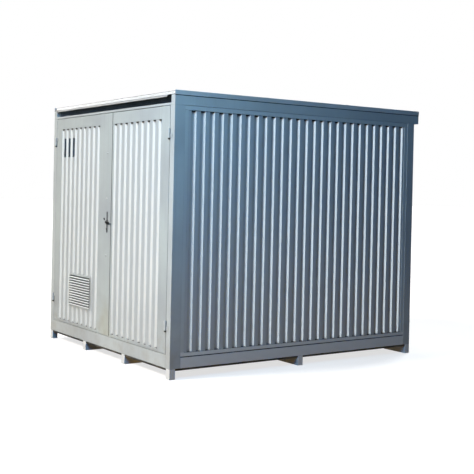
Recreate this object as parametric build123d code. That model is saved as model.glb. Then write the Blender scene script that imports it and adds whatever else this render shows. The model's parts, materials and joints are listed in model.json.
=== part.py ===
from build123d import *
import os

# Walk-in kiosk for a distribution transformer: a corrugated sheet-steel housing on
# short feet, with two hinged door leaves, and the transformer and its gear inside.
# Millimetres. +Z up, doors face -Y. The origin is at the middle of the bounding
# box, on the plane that the feet stand on.

# ---- housing ---------------------------------------------------------------
WIDTH = 2438.0             # over the outer faces of the posts
LENGTH = 2991.0            # over the outer faces of the posts
HANDLE_PROUD = 22.0        # how far the lever stands out of the door face
REAR_EAVE = 66.0           # roof past the rear posts
X_OUT = WIDTH / 2
FRONT = -(LENGTH + HANDLE_PROUD + REAR_EAVE) / 2 + HANDLE_PROUD
REAR = FRONT + LENGTH
Y_MID = (FRONT + REAR) / 2

FOOT = 60.0                # square tube of the feet
FOOT_REACH = 300.0         # how far a foot runs in under the floor
FOOT_SOLE = 6.0
SKID_X = 400.0             # feet under the sill and the rear rail
Z_PAN = 74.0
Z_BASE = 94.0
Z_RAIL = 188.0             # top of the side and rear rails
Z_SILL = 212.0
Z_EAVE = 2405.0            # underside of the roof frame
Z_CAP = 2494.0             # lower edge of the roof sheet's skirt
Z_TOP_FRONT = 2533.5
Z_TOP_REAR = 2538.0
ROOF_T = 2.0

POST_FRONT = (70.0, 110.0)  # width across the front, depth along the side
POST_REAR = (100.0, 95.0)
RAIL_DEPTH = 80.0
TUBE_WALL = 4.0
RAIL_WALL = 3.0
FLOOR_T = 5.0
Z_FLOOR = Z_RAIL + FLOOR_T
FASCIA_DEPTH = 60.0

# ---- profiled sheet --------------------------------------------------------
SHEET_T = 1.2
GROOVE_DEPTH = 18.0
GROOVE_RUN = 11.0
GROOVE_FLOOR = 29.0
GROOVE_W = 2 * GROOVE_RUN + GROOVE_FLOOR
WALL_PITCH = 100.0
WALL_GROOVES = 27
WALL_FIRST = 182.8         # front face to the first groove
WALL_CREST = 10.0          # crest plane behind the posts' outer face
REAR_GROOVES = 20
TRIM_W = 40.0
TRIM_T = 6.0

# ---- doors -----------------------------------------------------------------
LEAF_T = 36.0
LEAF_EDGE = 1144.0         # hinge edge of each leaf
LEFT_MEET = 107.0
RIGHT_MEET = 112.0
Z_LEAF = 217.5
Z_LEAF_TOP = 2400.0
LEAF_TOP_BAND = 112.0
LEAF_FOOT_BAND = 25.0
LEAF_WALL = 2.0
DOOR_PITCH = 101.8
DOOR_GROOVES = 9
LEFT_FIRST = -1016.1
RIGHT_FIRST = 142.9
CREST_BACK = 1.0           # crest plane behind the leaf's face
HINGE_X = 1146.5
HINGE_PROUD = 10.0
HINGE_R = 9.0
HINGE_PIN_R = 5.0
HINGE_H = 85.0
HINGE_Z = (425.0, 2114.0)
RUN_FIT = 0.05             # radial clearance of a running fit

# ---- lock ------------------------------------------------------------------
LOCK_X = 34.0
LOCK_Z = 1330.0
LEVER_REACH = 76.0         # stops short of the other leaf
PLATE_W = 22.0
SPINDLE_R = 6.0
ROD_X = 10.0
ROD_Y = FRONT + 50.0
ROD_R = 6.0
ROD_TOP = 2376.0
ROD_LOW = 241.0
SHOOT_X = 124.5
SHOOT_R = 5.0
SHOOT_L = 200.0
STOP_Y = (FRONT + 38.0, FRONT + 43.0)
STOP_LAP = 25.0

# ---- louvre and slots ------------------------------------------------------
LOUVRE_X = (-775.0, -295.0)
LOUVRE_Z = (412.0, 757.0)
LOUVRE_EDGE = 16.0
LOUVRE_BLADES = 12
SLOT_W = 47.0
SLOT_Z = (1985.0, 2185.0)
SLOT_CRESTS = (0, 1, 2)

# ---- cabinets --------------------------------------------------------------
CAB_BACK = 1150.0
CAB_FACE = 770.0
CAB_Y = (-1270.0, -630.0)
CAB_TOP = 1993.0
CAB_T = 2.0
CAB_DOOR_T = 18.0
PIT_X = (810.0, 1110.0)
PIT_Y = (-1230.0, -670.0)
GLAND_T = 4.0
LV_GLAND_R = 30.0
HV_GLAND_R = 40.0
GLAND_X = 960.0
LV_GLAND_Y = (-1130.0, -1010.0, -890.0, -770.0)
HV_GLAND_Y = (-1110.0, -950.0, -790.0)

# ---- transformer -----------------------------------------------------------
TANK_X = 500.0
TANK_Y = (700.0, 1100.0)
TANK_Z = (293.0, 1093.0)
TANK_WALL = 5.0
FIN_DEPTH = 110.0
FIN_T = 9.0
FIN_PITCH = 45.0
FIN_COUNT = 21
COVER_T = 12.0
LIMB_X = (-300.0, 0.0, 300.0)
LIMB_R = 75.0
COIL_R = 140.0
HV_X = (-250.0, 0.0, 250.0)
HV_Y = 820.0
HV_H = 300.0
LV_X = (-300.0, -100.0, 100.0, 300.0)
LV_Y = 1000.0
LV_H = 120.0
BUS_ROD_R = 14.0
BUS_ROD_BEND = 150.0
ROD_LANES = (870.0, 960.0, 1050.0)
ROD_LEVEL = 2150.0
ROD_STEP = 55.0
TAP_XY = (400.0, 900.0)
TAP_BOSS = 13.5
FILLER_XY = (-380.0, 800.0)
BUS_W = 30.0
BUS_T = 8.0
BUS_LEVEL = 2060.0
BUS_LANE = -880.0
BUS_STEP = (50.0, 45.0)    # across and up, from one bar to the next
BUS_FOOT = 1700.0          # where the bars end in the low-voltage cabinet
GEAR_Y = -950.0            # middle of the gear in both cabinets

# ---- switchgear ------------------------------------------------------------
SWITCH_Z = (1000.0, 1420.0)
SWITCH_TOP = 1560.0        # top of its insulators
SWITCH_FACE = 845.0
SWITCH_SHAFT_Z = 1150.0
MAIN_Z = (1350.0, 1620.0)  # the main low-voltage breaker
TOGGLE_X = -982.0
TOGGLE_Z = 1485.0


def block(x0, x1, y0, y1, z0, z1):
    """A box from its low and high limits."""
    size = (abs(x1 - x0), abs(y1 - y0), abs(z1 - z0))
    corner = (min(x0, x1), min(y0, y1), min(z0, z1))
    return Pos(*corner) * Box(*size, align=(Align.MIN, Align.MIN, Align.MIN))


def rod_z(x, y, z0, z1, radius):
    """A round bar along Z."""
    bar = Cylinder(radius, z1 - z0, align=(Align.CENTER, Align.CENTER, Align.MIN))
    return Pos(x, y, z0) * bar


def rod_y(x, z, y0, y1, radius):
    """A round bar along Y."""
    bar = Cylinder(radius, y1 - y0, align=(Align.CENTER, Align.CENTER, Align.MIN))
    return Pos(x, y0, z) * Rot(-90, 0, 0) * bar


def rod_x(y, z, x0, x1, radius):
    """A round bar along X."""
    bar = Cylinder(radius, x1 - x0, align=(Align.CENTER, Align.CENTER, Align.MIN))
    return Pos(x0, y, z) * Rot(0, 90, 0) * bar


def tube(x0, x1, y0, y1, z0, z1, wall, along):
    """A rectangular tube, open at both ends of the axis it runs along."""
    inner = {
        "x": (x0 - 1, x1 + 1, y0 + wall, y1 - wall, z0 + wall, z1 - wall),
        "y": (x0 + wall, x1 - wall, y0 - 1, y1 + 1, z0 + wall, z1 - wall),
        "z": (x0 + wall, x1 - wall, y0 + wall, y1 - wall, z0 - 1, z1 + 1),
    }[along]
    return block(x0, x1, y0, y1, z0, z1) - block(*inner)


def mirror_x(shape):
    return mirror(shape, about=Plane.YZ)


def prism(points, plane, amount):
    """A closed outline on a plane, extruded along the plane's normal."""
    outline = make_face(plane * Polyline(*points, close=True))
    return extrude(outline, amount, dir=plane.z_dir)


def save(name, *shapes):
    """One node: a solid, or a group of separate solids."""
    solids = []
    for shape in shapes:
        solids += list(shape.solids())
    node = solids[0] if len(solids) == 1 else Compound(children=solids)
    node.label = name
    export_step(node, f"parts/{name}.step")


def groove_line(start, end, first, pitch, count, crest):
    """The outer line of a profiled sheet: (distance along, depth) points."""
    deep = crest + GROOVE_DEPTH
    line = [(start, crest)]
    for i in range(count):
        s = first + i * pitch
        line.append((s, crest))
        line.append((s + GROOVE_RUN, deep))
        line.append((s + GROOVE_RUN + GROOVE_FLOOR, deep))
        line.append((s + GROOVE_W, crest))
    if end > line[-1][0] + 0.5:
        line.append((end, crest))
    return line


def profiled_sheet(line, to_xy, z0, z1):
    """A standing sheet: the line and its copy one thickness deeper, extruded up."""
    back = [(s, depth + SHEET_T) for s, depth in reversed(line)]
    points = [to_xy(s, depth) for s, depth in line + back]
    return prism(points, Plane((0, 0, z0)), z1 - z0)


# ---- feet, base and floor --------------------------------------------------
def make_feet():
    """Square tube feet: four corners, two under each end, one under each side."""
    feet = []
    for sx in (-1, 1):
        for near in (FRONT, REAR - FOOT):
            x0, x1 = sorted((sx * (X_OUT - FOOT), sx * X_OUT))
            stub = tube(x0, x1, near, near + FOOT, 0, Z_BASE, TUBE_WALL, "z")
            feet.append(stub + block(x0, x1, near, near + FOOT, 0, FOOT_SOLE))
        for y0, tab in ((FRONT, FRONT), (REAR - FOOT_REACH, REAR - 6)):
            x0 = sx * SKID_X - FOOT / 2
            bar = tube(x0, x0 + FOOT, y0, y0 + FOOT_REACH, 0, Z_PAN, TUBE_WALL, "y")
            feet.append(bar + block(x0, x0 + FOOT, tab, tab + 6, 0, Z_BASE))
        inner = X_OUT - FOOT_REACH
        x0, x1 = sorted((sx * inner, sx * X_OUT))
        t0, t1 = sorted((sx * (X_OUT - 6), sx * X_OUT))
        side = tube(x0, x1, Y_MID - FOOT / 2, Y_MID + FOOT / 2, 0, Z_PAN, TUBE_WALL, "x")
        feet.append(side + block(t0, t1, Y_MID - FOOT / 2, Y_MID + FOOT / 2, 0, Z_BASE))
        x0, x1 = sorted((sx * inner, sx * (X_OUT - FOOT)))
        feet.append(tube(x0, x1, REAR - FOOT, REAR, 0, Z_PAN, TUBE_WALL, "x"))
    save("feet", *feet)


def pits():
    """The two cable pits under the cabinets, as cutting boxes."""
    right = block(*PIT_X, *PIT_Y, 0, Z_FLOOR + 1)
    return [right, mirror_x(right)]


def make_sump_pan():
    """The steel tray under the floor, open over the cable pits."""
    inset, wall = 8.0, 3.0
    pan = block(-X_OUT + inset, X_OUT - inset, FRONT + inset, REAR - inset, Z_PAN, Z_BASE)
    side = inset + wall
    pan -= block(-X_OUT + side, X_OUT - side, FRONT + side, REAR - side, Z_PAN + 4, Z_BASE + 1)
    room = FOOT + 1
    for sx in (-1, 1):
        x0, x1 = sorted((sx * (X_OUT - room), sx * X_OUT))
        pan -= block(x0, x1, FRONT, FRONT + room, 0, Z_BASE + 1)
        pan -= block(x0, x1, REAR - room, REAR, 0, Z_BASE + 1)
    for pit in pits():
        pan -= pit
    save("sump_pan", pan)


def make_base_frame():
    """Side and rear rails and the floor joists between them."""
    side = tube(X_OUT - RAIL_DEPTH, X_OUT, FRONT + POST_FRONT[1], REAR - POST_REAR[1],
                Z_BASE, Z_RAIL, RAIL_WALL, "y")
    rear_x = X_OUT - POST_REAR[0]
    rear = tube(-rear_x, rear_x, REAR - RAIL_DEPTH, REAR, Z_BASE, Z_RAIL, RAIL_WALL, "x")
    reach = X_OUT - RAIL_DEPTH
    joists = []
    for y in (-560.0, 60.0, 680.0, 1160.0):
        joists.append(tube(-reach, reach, y - 30, y + 30, 108, Z_RAIL, RAIL_WALL, "x"))
    save("base_frame", side, mirror_x(side), rear, *joists)


def make_front_sill():
    reach = X_OUT - POST_FRONT[0]
    save("front_sill", tube(-reach, reach, FRONT, FRONT + RAIL_DEPTH, Z_BASE, Z_SILL, RAIL_WALL, "x"))


def make_floor_plate():
    """The floor, notched round the posts and open over the cable pits."""
    edge, sill_back = 1180.0, FRONT + RAIL_DEPTH
    floor = block(-edge, edge, sill_back, REAR - 35, Z_RAIL, Z_FLOOR)
    for sx in (-1, 1):
        x0, x1 = sorted((sx * (X_OUT - POST_FRONT[0] - 2), sx * X_OUT))
        floor -= block(x0, x1, FRONT, FRONT + POST_FRONT[1] + 2, 0, Z_FLOOR + 1)
        x0, x1 = sorted((sx * (X_OUT - POST_REAR[0] - 2), sx * X_OUT))
        floor -= block(x0, x1, REAR - POST_REAR[1] - 2, REAR, 0, Z_FLOOR + 1)
    for pit in pits():
        floor -= pit
    save("floor_plate", floor)


def make_gland_plates():
    """Two plates over the cable pits, bored for the cable glands."""
    plates = []
    for sx, radius, rows in ((-1, LV_GLAND_R, LV_GLAND_Y), (1, HV_GLAND_R, HV_GLAND_Y)):
        plate = block(sx * (PIT_X[0] - 20), sx * (PIT_X[1] + 20), PIT_Y[0] - 20, PIT_Y[1] + 20,
                      Z_FLOOR, Z_FLOOR + GLAND_T)
        for y in rows:
            plate -= rod_z(sx * GLAND_X, y, Z_FLOOR - 1, Z_FLOOR + GLAND_T + 1, radius)
        plates.append(plate)
    save("gland_plates", *plates)


# ---- posts, walls and roof -------------------------------------------------
def make_corner_posts():
    posts = []
    for width, depth, y0 in ((*POST_FRONT, FRONT), (*POST_REAR, REAR - POST_REAR[1])):
        post = tube(X_OUT - width, X_OUT, y0, y0 + depth, Z_BASE, Z_EAVE, TUBE_WALL, "z")
        posts += [post, mirror_x(post)]
    save("corner_posts", *posts)


def make_wall_sheets():
    y0, y1 = FRONT + POST_FRONT[1], REAR - POST_REAR[1]
    line = groove_line(y0, y1, FRONT + WALL_FIRST, WALL_PITCH, WALL_GROOVES, WALL_CREST)
    right = profiled_sheet(line, lambda s, depth: (X_OUT - depth, s), Z_RAIL, Z_EAVE)
    save("right_wall_sheet", right)
    save("left_wall_sheet", mirror_x(right))
    reach = X_OUT - POST_REAR[0]
    first = -((REAR_GROOVES - 1) * WALL_PITCH + GROOVE_W) / 2
    line = groove_line(-reach, reach, first, WALL_PITCH, REAR_GROOVES, WALL_CREST)
    save("rear_wall_sheet", profiled_sheet(line, lambda s, depth: (s, REAR - depth), Z_RAIL, Z_EAVE))


def make_wall_trim():
    """Flat bars round each wall sheet, just behind the face of the posts."""
    x0, x1 = X_OUT - WALL_CREST, X_OUT - WALL_CREST + TRIM_T
    y0, y1 = FRONT + POST_FRONT[1], REAR - POST_REAR[1]
    bars = [
        block(x0, x1, y0, y1, Z_RAIL, Z_RAIL + TRIM_W),
        block(x0, x1, y0, y1, Z_EAVE - TRIM_W, Z_EAVE),
        block(x0, x1, y0, y0 + TRIM_W, Z_RAIL + TRIM_W, Z_EAVE - TRIM_W),
        block(x0, x1, y1 - TRIM_W, y1, Z_RAIL + TRIM_W, Z_EAVE - TRIM_W),
    ]
    bars += [mirror_x(bar) for bar in bars]
    reach = X_OUT - POST_REAR[0]
    y0, y1 = REAR - WALL_CREST, REAR - WALL_CREST + TRIM_T
    bars.append(block(-reach, reach, y0, y1, Z_RAIL, Z_RAIL + TRIM_W))
    bars.append(block(-reach, reach, y0, y1, Z_EAVE - TRIM_W, Z_EAVE))
    upright = block(reach - TRIM_W, reach, y0, y1, Z_RAIL + TRIM_W, Z_EAVE - TRIM_W)
    bars += [upright, mirror_x(upright)]
    save("wall_trim", *bars)


def make_wall_girts():
    """Horizontal rails behind the wall sheets."""
    depth = 30.0
    back = WALL_CREST + GROOVE_DEPTH + SHEET_T
    y0, y1 = FRONT + POST_FRONT[1], REAR - POST_REAR[1]
    reach = X_OUT - POST_REAR[0]
    girts = []
    for z in (860.0, 1600.0):
        x1 = X_OUT - back
        side = tube(x1 - depth, x1, y0, y1, z, z + 40, RAIL_WALL, "y")
        y2 = REAR - back
        girts += [side, mirror_x(side)]
        girts.append(tube(-reach, reach, y2 - depth, y2, z, z + 40, RAIL_WALL, "x"))
    save("wall_girts", *girts)


def make_roof_frame():
    """Side and rear fascia beams, risers on them, and the bearers under the roof sheet."""
    x_in = X_OUT - FASCIA_DEPTH
    y_back = REAR + REAR_EAVE - 2
    top = Z_TOP_FRONT - ROOF_T - 0.5
    side = tube(x_in, X_OUT, FRONT, y_back, Z_EAVE, Z_CAP, RAIL_WALL, "y")
    for end in (FRONT, y_back - RAIL_WALL):
        side += block(x_in, X_OUT, end, end + RAIL_WALL, Z_EAVE, Z_CAP)
    riser = tube(x_in, X_OUT, FRONT + 32, y_back, Z_CAP, top, RAIL_WALL, "y")
    rear = tube(-x_in, x_in, y_back - FASCIA_DEPTH, y_back, Z_EAVE, top, RAIL_WALL, "x")
    bearers = []
    for y in (-760.0, -60.0, 640.0):
        bearers.append(tube(-x_in, x_in, y - 25, y + 25, Z_CAP - 20, top, RAIL_WALL, "x"))
    save("roof_frame", side, mirror_x(side), riser, mirror_x(riser), rear, *bearers)


def make_roof_sheet():
    """The roof: a folded sheet with a 40 mm skirt, falling slightly to the front."""
    t, lap = ROOF_T, ROOF_T
    x1, y0, y1 = X_OUT + lap, FRONT, REAR + REAR_EAVE
    side = Plane((-x1, 0, 0), x_dir=(0, 1, 0), z_dir=(1, 0, 0))
    outer = prism([(y0, Z_CAP), (y0, Z_TOP_FRONT), (y1, Z_TOP_REAR), (y1, Z_CAP)], side, 2 * x1)
    inside = Plane((-x1 + t, 0, 0), x_dir=(0, 1, 0), z_dir=(1, 0, 0))
    core = [(y0 - 1, Z_CAP - 1), (y0 - 1, Z_TOP_FRONT - t), (y1 - t, Z_TOP_REAR - t), (y1 - t, Z_CAP - 1)]
    sheet = outer - prism(core, inside, 2 * (x1 - t))
    sheet -= block(-X_OUT, X_OUT, FRONT - 1, FRONT + 29, Z_CAP - 1, Z_TOP_REAR + 1)
    save("roof_sheet", sheet)


def make_front_flashing():
    """The drip flashing over the doors: a leaning upper strip and a short drip lip."""
    reach = X_OUT - 0.5
    side = Plane((-reach, 0, 0), x_dir=(0, 1, 0), z_dir=(1, 0, 0))
    lean = [(FRONT, 2497), (FRONT + 29, Z_TOP_FRONT), (FRONT + 29, Z_TOP_FRONT - 3), (FRONT + 2, 2495)]
    upper = prism(lean, side, 2 * reach)
    lip_side = Plane((-X_OUT + FASCIA_DEPTH + 1, 0, 0), x_dir=(0, 1, 0), z_dir=(1, 0, 0))
    lip = [(FRONT - 3, 2480), (FRONT, 2497), (FRONT + 2, 2495), (FRONT - 1, 2480)]
    lower = prism(lip, lip_side, X_OUT - FASCIA_DEPTH - 1 + 1090)
    save("front_flashing", upper + lower)


def make_front_header():
    reach = X_OUT - FASCIA_DEPTH
    save("front_header", tube(-reach, reach, FRONT, FRONT + 60, Z_EAVE, Z_EAVE + 20, RAIL_WALL, "x"))


def make_vent_mesh():
    """Mesh in the ventilation gap over the doors."""
    reach = X_OUT - FASCIA_DEPTH
    save("vent_mesh", block(-reach, reach, FRONT + 44, FRONT + 46, Z_EAVE + 20, 2515))


# ---- door surround ---------------------------------------------------------
def make_door_stops():
    """Bars behind the leaves; the lock's rods hook behind them."""
    y0, y1 = STOP_Y
    reach = X_OUT - POST_FRONT[0]
    low, high = Z_SILL + STOP_LAP, Z_EAVE - STOP_LAP
    upright = block(reach - 34, reach, y0, y1, low, high)
    save("door_stops", upright, mirror_x(upright),
         block(-reach, reach, y0, y1, high, Z_EAVE), block(-reach, reach, y0, y1, Z_SILL, low))


def make_door_seals():
    """Rubber strips on the stops, just clear of the closed leaves."""
    y0, y1 = FRONT + LEAF_T + 0.3, STOP_Y[0]
    low, high = Z_SILL + STOP_LAP, Z_EAVE - STOP_LAP
    upright = block(1119, 1135, y0, y1, low + 3, high - 3)
    save("door_seals", upright, mirror_x(upright),
         block(-1110, 1110, y0, y1, high + 4, Z_LEAF_TOP - 4),
         block(-1110, 1110, y0, y1, Z_LEAF + 3, low - 3))


def hinge_halves(z):
    """The right-hand hinge at height z: the post's half with its pin, and the leaf's."""
    y = FRONT - HINGE_PROUD
    mid = z + HINGE_H / 2
    post = rod_z(HINGE_X, y, z, mid - 0.5, HINGE_R)
    post += block(HINGE_X + 3, HINGE_X + 38, FRONT - 3, FRONT, z + 4, mid - 6)
    post += rod_z(HINGE_X, y, mid - 2, z + HINGE_H - 4, HINGE_PIN_R)
    leaf = rod_z(HINGE_X, y, mid, z + HINGE_H, HINGE_R)
    leaf += block(HINGE_X - 38, HINGE_X - 3, FRONT - 3, FRONT, mid + 6, z + HINGE_H - 4)
    leaf -= rod_z(HINGE_X, y, mid - 1, z + HINGE_H - 3, HINGE_PIN_R + RUN_FIT)
    return post, leaf


def make_hinges():
    pairs = [hinge_halves(z) for z in HINGE_Z]
    posts = [post for post, leaf in pairs]
    leaves = [leaf for post, leaf in pairs]
    save("hinge_post_halves", *posts, *[mirror_x(post) for post in posts])
    save("right_door_hinges", *leaves)
    save("left_door_hinges", *[mirror_x(leaf) for leaf in leaves])


# ---- door leaves -----------------------------------------------------------
def leaf_bars(hinge_stile, meeting_stile):
    """Two stiles, two rails and two stiffeners of a leaf, from the stiles' X limits."""
    y0, y1 = FRONT, FRONT + LEAF_T
    bars = []
    for x0, x1 in (hinge_stile, meeting_stile):
        bars.append(tube(x0, x1, y0, y1, Z_LEAF, Z_LEAF_TOP, LEAF_WALL, "z"))
    x0 = min(hinge_stile[1], meeting_stile[1])
    x1 = max(hinge_stile[0], meeting_stile[0])
    bars.append(tube(x0, x1, y0, y1, Z_LEAF_TOP - LEAF_TOP_BAND, Z_LEAF_TOP, LEAF_WALL, "x"))
    bars.append(tube(x0, x1, y0, y1, Z_LEAF, Z_LEAF + LEAF_FOOT_BAND, LEAF_WALL, "x"))
    back = FRONT + CREST_BACK + GROOVE_DEPTH + SHEET_T
    for z in (880.0, 1580.0):
        bars.append(tube(x0, x1, back, y1, z, z + 40, LEAF_WALL, "x"))
    return bars


def leaf_sheet(x0, x1, first):
    line = groove_line(x0, x1, first, DOOR_PITCH, DOOR_GROOVES, CREST_BACK)
    low, high = Z_LEAF + LEAF_FOOT_BAND, Z_LEAF_TOP - LEAF_TOP_BAND
    return profiled_sheet(line, lambda s, depth: (s, FRONT + depth), low, high)


def stile_limits(first):
    """Where a leaf's sheet starts and ends: 6 mm before the first groove, and after the last."""
    return first - 6, first + (DOOR_GROOVES - 1) * DOOR_PITCH + GROOVE_W


def slot_limits():
    """X limits of the slots, on the crests after the first grooves of the left leaf."""
    crest = DOOR_PITCH - GROOVE_W
    for i in SLOT_CRESTS:
        mid = LEFT_FIRST + i * DOOR_PITCH + GROOVE_W + crest / 2
        yield mid - SLOT_W / 2, mid + SLOT_W / 2


def make_left_leaf():
    x0, x1 = stile_limits(LEFT_FIRST)
    bars = leaf_bars((-LEAF_EDGE, x0), (x1, LEFT_MEET))
    hole = rod_y(LOCK_X, LOCK_Z, FRONT - 1, FRONT + LEAF_T + 1, SPINDLE_R + 2)
    save("left_door_frame", *[bar - hole for bar in bars])
    sheet = leaf_sheet(x0, x1, LEFT_FIRST)
    wall = LOUVRE_EDGE - 2.5
    sheet -= block(LOUVRE_X[0] + wall, LOUVRE_X[1] - wall, FRONT - 5, FRONT + 30,
                   LOUVRE_Z[0] + wall, LOUVRE_Z[1] - wall)
    for s0, s1 in slot_limits():
        sheet -= block(s0, s1, FRONT - 5, FRONT + CREST_BACK + SHEET_T + 1, *SLOT_Z)
    save("left_door_sheet", sheet)


def make_right_leaf():
    x0, x1 = stile_limits(RIGHT_FIRST)
    save("right_door_frame", *leaf_bars((x1, LEAF_EDGE), (RIGHT_MEET, x0)))
    save("right_door_sheet", leaf_sheet(x0, x1, RIGHT_FIRST))


def make_louvre():
    """The louvre in the left leaf: a flanged frame, its blades, and mesh behind."""
    x0, x1 = LOUVRE_X
    z0, z1 = LOUVRE_Z
    edge, wall = LOUVRE_EDGE, 2.0
    face = FRONT + CREST_BACK
    back = FRONT + 24
    hole = block(x0 + edge, x1 - edge, face - 10, back + 1, z0 + edge, z1 - edge)
    flange = block(x0, x1, face - 2, face, z0, z1)
    box = block(x0 + edge - wall, x1 - edge + wall, face, back, z0 + edge - wall, z1 - edge + wall)
    save("louvre_frame", (flange + box) - hole)
    pitch = (z1 - z0 - 2 * edge) / LOUVRE_BLADES
    side = Plane((x0 + edge, 0, 0), x_dir=(0, 1, 0), z_dir=(1, 0, 0))
    blades = []
    for i in range(LOUVRE_BLADES):
        z = z0 + edge + i * pitch
        outline = [(face - 9, z + 1), (face - 9, z + 8), (face + 12, z + 15), (face + 12.7, z + 13.5),
                   (face - 7.5, z + 6.8), (face - 7.5, z + 1)]
        blades.append(prism(outline, side, x1 - x0 - 2 * edge))
    save("louvre_blades", *blades)
    meshes = [block(x0 + 5, x1 - 5, back, back + 1, z0 + 5, z1 - 5)]
    inner = FRONT + CREST_BACK + SHEET_T
    for s0, s1 in slot_limits():
        meshes.append(block(s0 - 1, s1 + 1, inner, inner + 1, SLOT_Z[0] - 8, SLOT_Z[1] + 8))
    save("insect_screens", *meshes)


# ---- lock ------------------------------------------------------------------
def make_lock():
    inner = FRONT + LEAF_T
    case = block(-25, 70, inner, inner + 26, 1240, 1420)
    case -= block(-22, 67, inner + 3, inner + 23, 1243, 1417)
    case -= rod_y(LOCK_X, LOCK_Z, inner - 1, inner + 10, SPINDLE_R + RUN_FIT)
    case -= rod_z(ROD_X, ROD_Y, 1239, 1421, ROD_R + RUN_FIT)
    case -= block(60, 71, ROD_Y - 6.1, ROD_Y + 6.1, 1289.9, 1312.1)
    save("lock_case", case)
    plate = block(LOCK_X - PLATE_W / 2, LOCK_X + PLATE_W / 2, FRONT - 4, FRONT, 1228, 1432)
    plate -= rod_y(LOCK_X, LOCK_Z, FRONT - 5, FRONT + 1, SPINDLE_R + RUN_FIT)
    plate += rod_y(LOCK_X, 1262, FRONT - 9, FRONT - 4, 9)
    plate -= block(LOCK_X - 1.5, LOCK_X + 1.5, FRONT - 10, FRONT - 6, 1255, 1269)
    save("escutcheon_plate", plate)
    lever = rod_y(LOCK_X, LOCK_Z, FRONT - 8, inner + 16, SPINDLE_R)
    lever += rod_y(LOCK_X, LOCK_Z, FRONT - HANDLE_PROUD, FRONT - 5, 12)
    lever += block(LOCK_X, LOCK_X + LEVER_REACH, FRONT - HANDLE_PROUD, FRONT - 14, LOCK_Z - 7, LOCK_Z + 7)
    lever += block(LOCK_X + LEVER_REACH - 12, LOCK_X + LEVER_REACH, FRONT - HANDLE_PROUD, FRONT - 14, LOCK_Z - 24, LOCK_Z)
    save("door_lever", lever)
    save("upper_lock_rod", rod_z(ROD_X, ROD_Y, 1385, ROD_TOP, ROD_R))
    save("lower_lock_rod", rod_z(ROD_X, ROD_Y, ROD_LOW, 1275, ROD_R))
    save("lock_bolt", block(48, 103, ROD_Y - 6, ROD_Y + 6, 1290, 1312))
    guides = []
    for z in (270.0, 800.0, 1800.0, 2330.0):
        guide = block(ROD_X - 12, ROD_X + 12, inner, inner + 24, z, z + 20)
        guides.append(guide - rod_z(ROD_X, ROD_Y, z - 1, z + 21, ROD_R + RUN_FIT))
    save("lock_rod_guides", *guides)
    bolts = [rod_y(20, z, FRONT - 5, FRONT, 9) for z in (1000.0, 1561.0, 2009.0)]
    save("stile_bolts", *bolts)


def make_keeper_and_shoot_bolts():
    inner = FRONT + LEAF_T
    keeper = block(113, 135, inner, inner + 28, 1280, 1322)
    fittings = [keeper - block(112, 130, ROD_Y - 7, ROD_Y + 7, 1289, 1313)]
    for z in (270.0, 410.0, 2190.0, 2330.0):
        guide = block(SHOOT_X - 10, SHOOT_X + 10, inner, inner + 22, z, z + 20)
        fittings.append(guide - rod_z(SHOOT_X, ROD_Y, z - 1, z + 21, SHOOT_R + RUN_FIT))
    save("keeper_and_bolt_guides", *fittings)
    for name, z in (("top_shoot_bolt", ROD_TOP - SHOOT_L), ("bottom_shoot_bolt", ROD_LOW)):
        bolt = rod_z(SHOOT_X, ROD_Y, z, z + SHOOT_L, SHOOT_R)
        save(name, bolt + rod_y(SHOOT_X, z + SHOOT_L / 2, ROD_Y, ROD_Y + 28, 5))


# ---- transformer -----------------------------------------------------------
def make_transformer_body():
    y0, y1 = TANK_Y
    z0, z1 = TANK_Z
    channels = []
    for x in (-330.0, 330.0):
        channel = block(x - 40, x + 40, y0 - 60, y1 + 60, Z_FLOOR, z0)
        channels.append(channel - block(x - 34, x + 41, y0 - 61, y1 + 61, Z_FLOOR + 6, z0 - 6))
    save("transformer_base", *channels)
    tank = block(-TANK_X, TANK_X, y0, y1, z0, z1)
    w = TANK_WALL
    tank -= block(-TANK_X + w, TANK_X - w, y0 + w, y1 - w, z0 + w, z1 + 1)
    save("transformer_tank", tank)
    fins = []
    start = -(FIN_COUNT - 1) * FIN_PITCH / 2
    for i in range(FIN_COUNT):
        x = start + i * FIN_PITCH
        for f0, f1 in ((y0 - FIN_DEPTH, y0), (y1, y1 + FIN_DEPTH)):
            fins.append(block(x - FIN_T / 2, x + FIN_T / 2, f0, f1, z0 + 90, z1 - 90))
    save("cooling_fins", *fins)
    cover = block(-TANK_X - 30, TANK_X + 30, y0 - 30, y1 + 30, z1, z1 + COVER_T)
    for x in (-460.0, 470.0):
        lug = block(x - 8, x + 8, 860, 940, z1 + COVER_T, z1 + COVER_T + 70)
        cover += lug - rod_x(900, z1 + COVER_T + 40, x - 9, x + 9, 18)
    cover += rod_z(*TAP_XY, z1 + COVER_T, z1 + COVER_T + TAP_BOSS, 36)
    cover += rod_z(*FILLER_XY, z1 + COVER_T, z1 + COVER_T + 90, 22)
    cover += rod_z(*FILLER_XY, z1 + COVER_T + 90, z1 + COVER_T + 110, 30)
    save("tank_cover", cover)


def make_core_and_windings():
    yc = sum(TANK_Y) / 2
    low, high = TANK_Z[0] + 60, TANK_Z[1] - 60
    yoke = 130.0
    core = block(LIMB_X[0] - LIMB_R, LIMB_X[2] + LIMB_R, yc - 65, yc + 65, low, low + yoke)
    core += block(LIMB_X[0] - LIMB_R, LIMB_X[2] + LIMB_R, yc - 65, yc + 65, high - yoke, high)
    for x in LIMB_X:
        core += rod_z(x, yc, low, high, LIMB_R - 5)
    save("iron_core", core)
    coils = []
    for x in LIMB_X:
        coil = rod_z(x, yc, low + yoke + 15, high - yoke - 15, COIL_R)
        coils.append(coil - rod_z(x, yc, low, high, LIMB_R + 5))
    save("windings", *coils)


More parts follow.
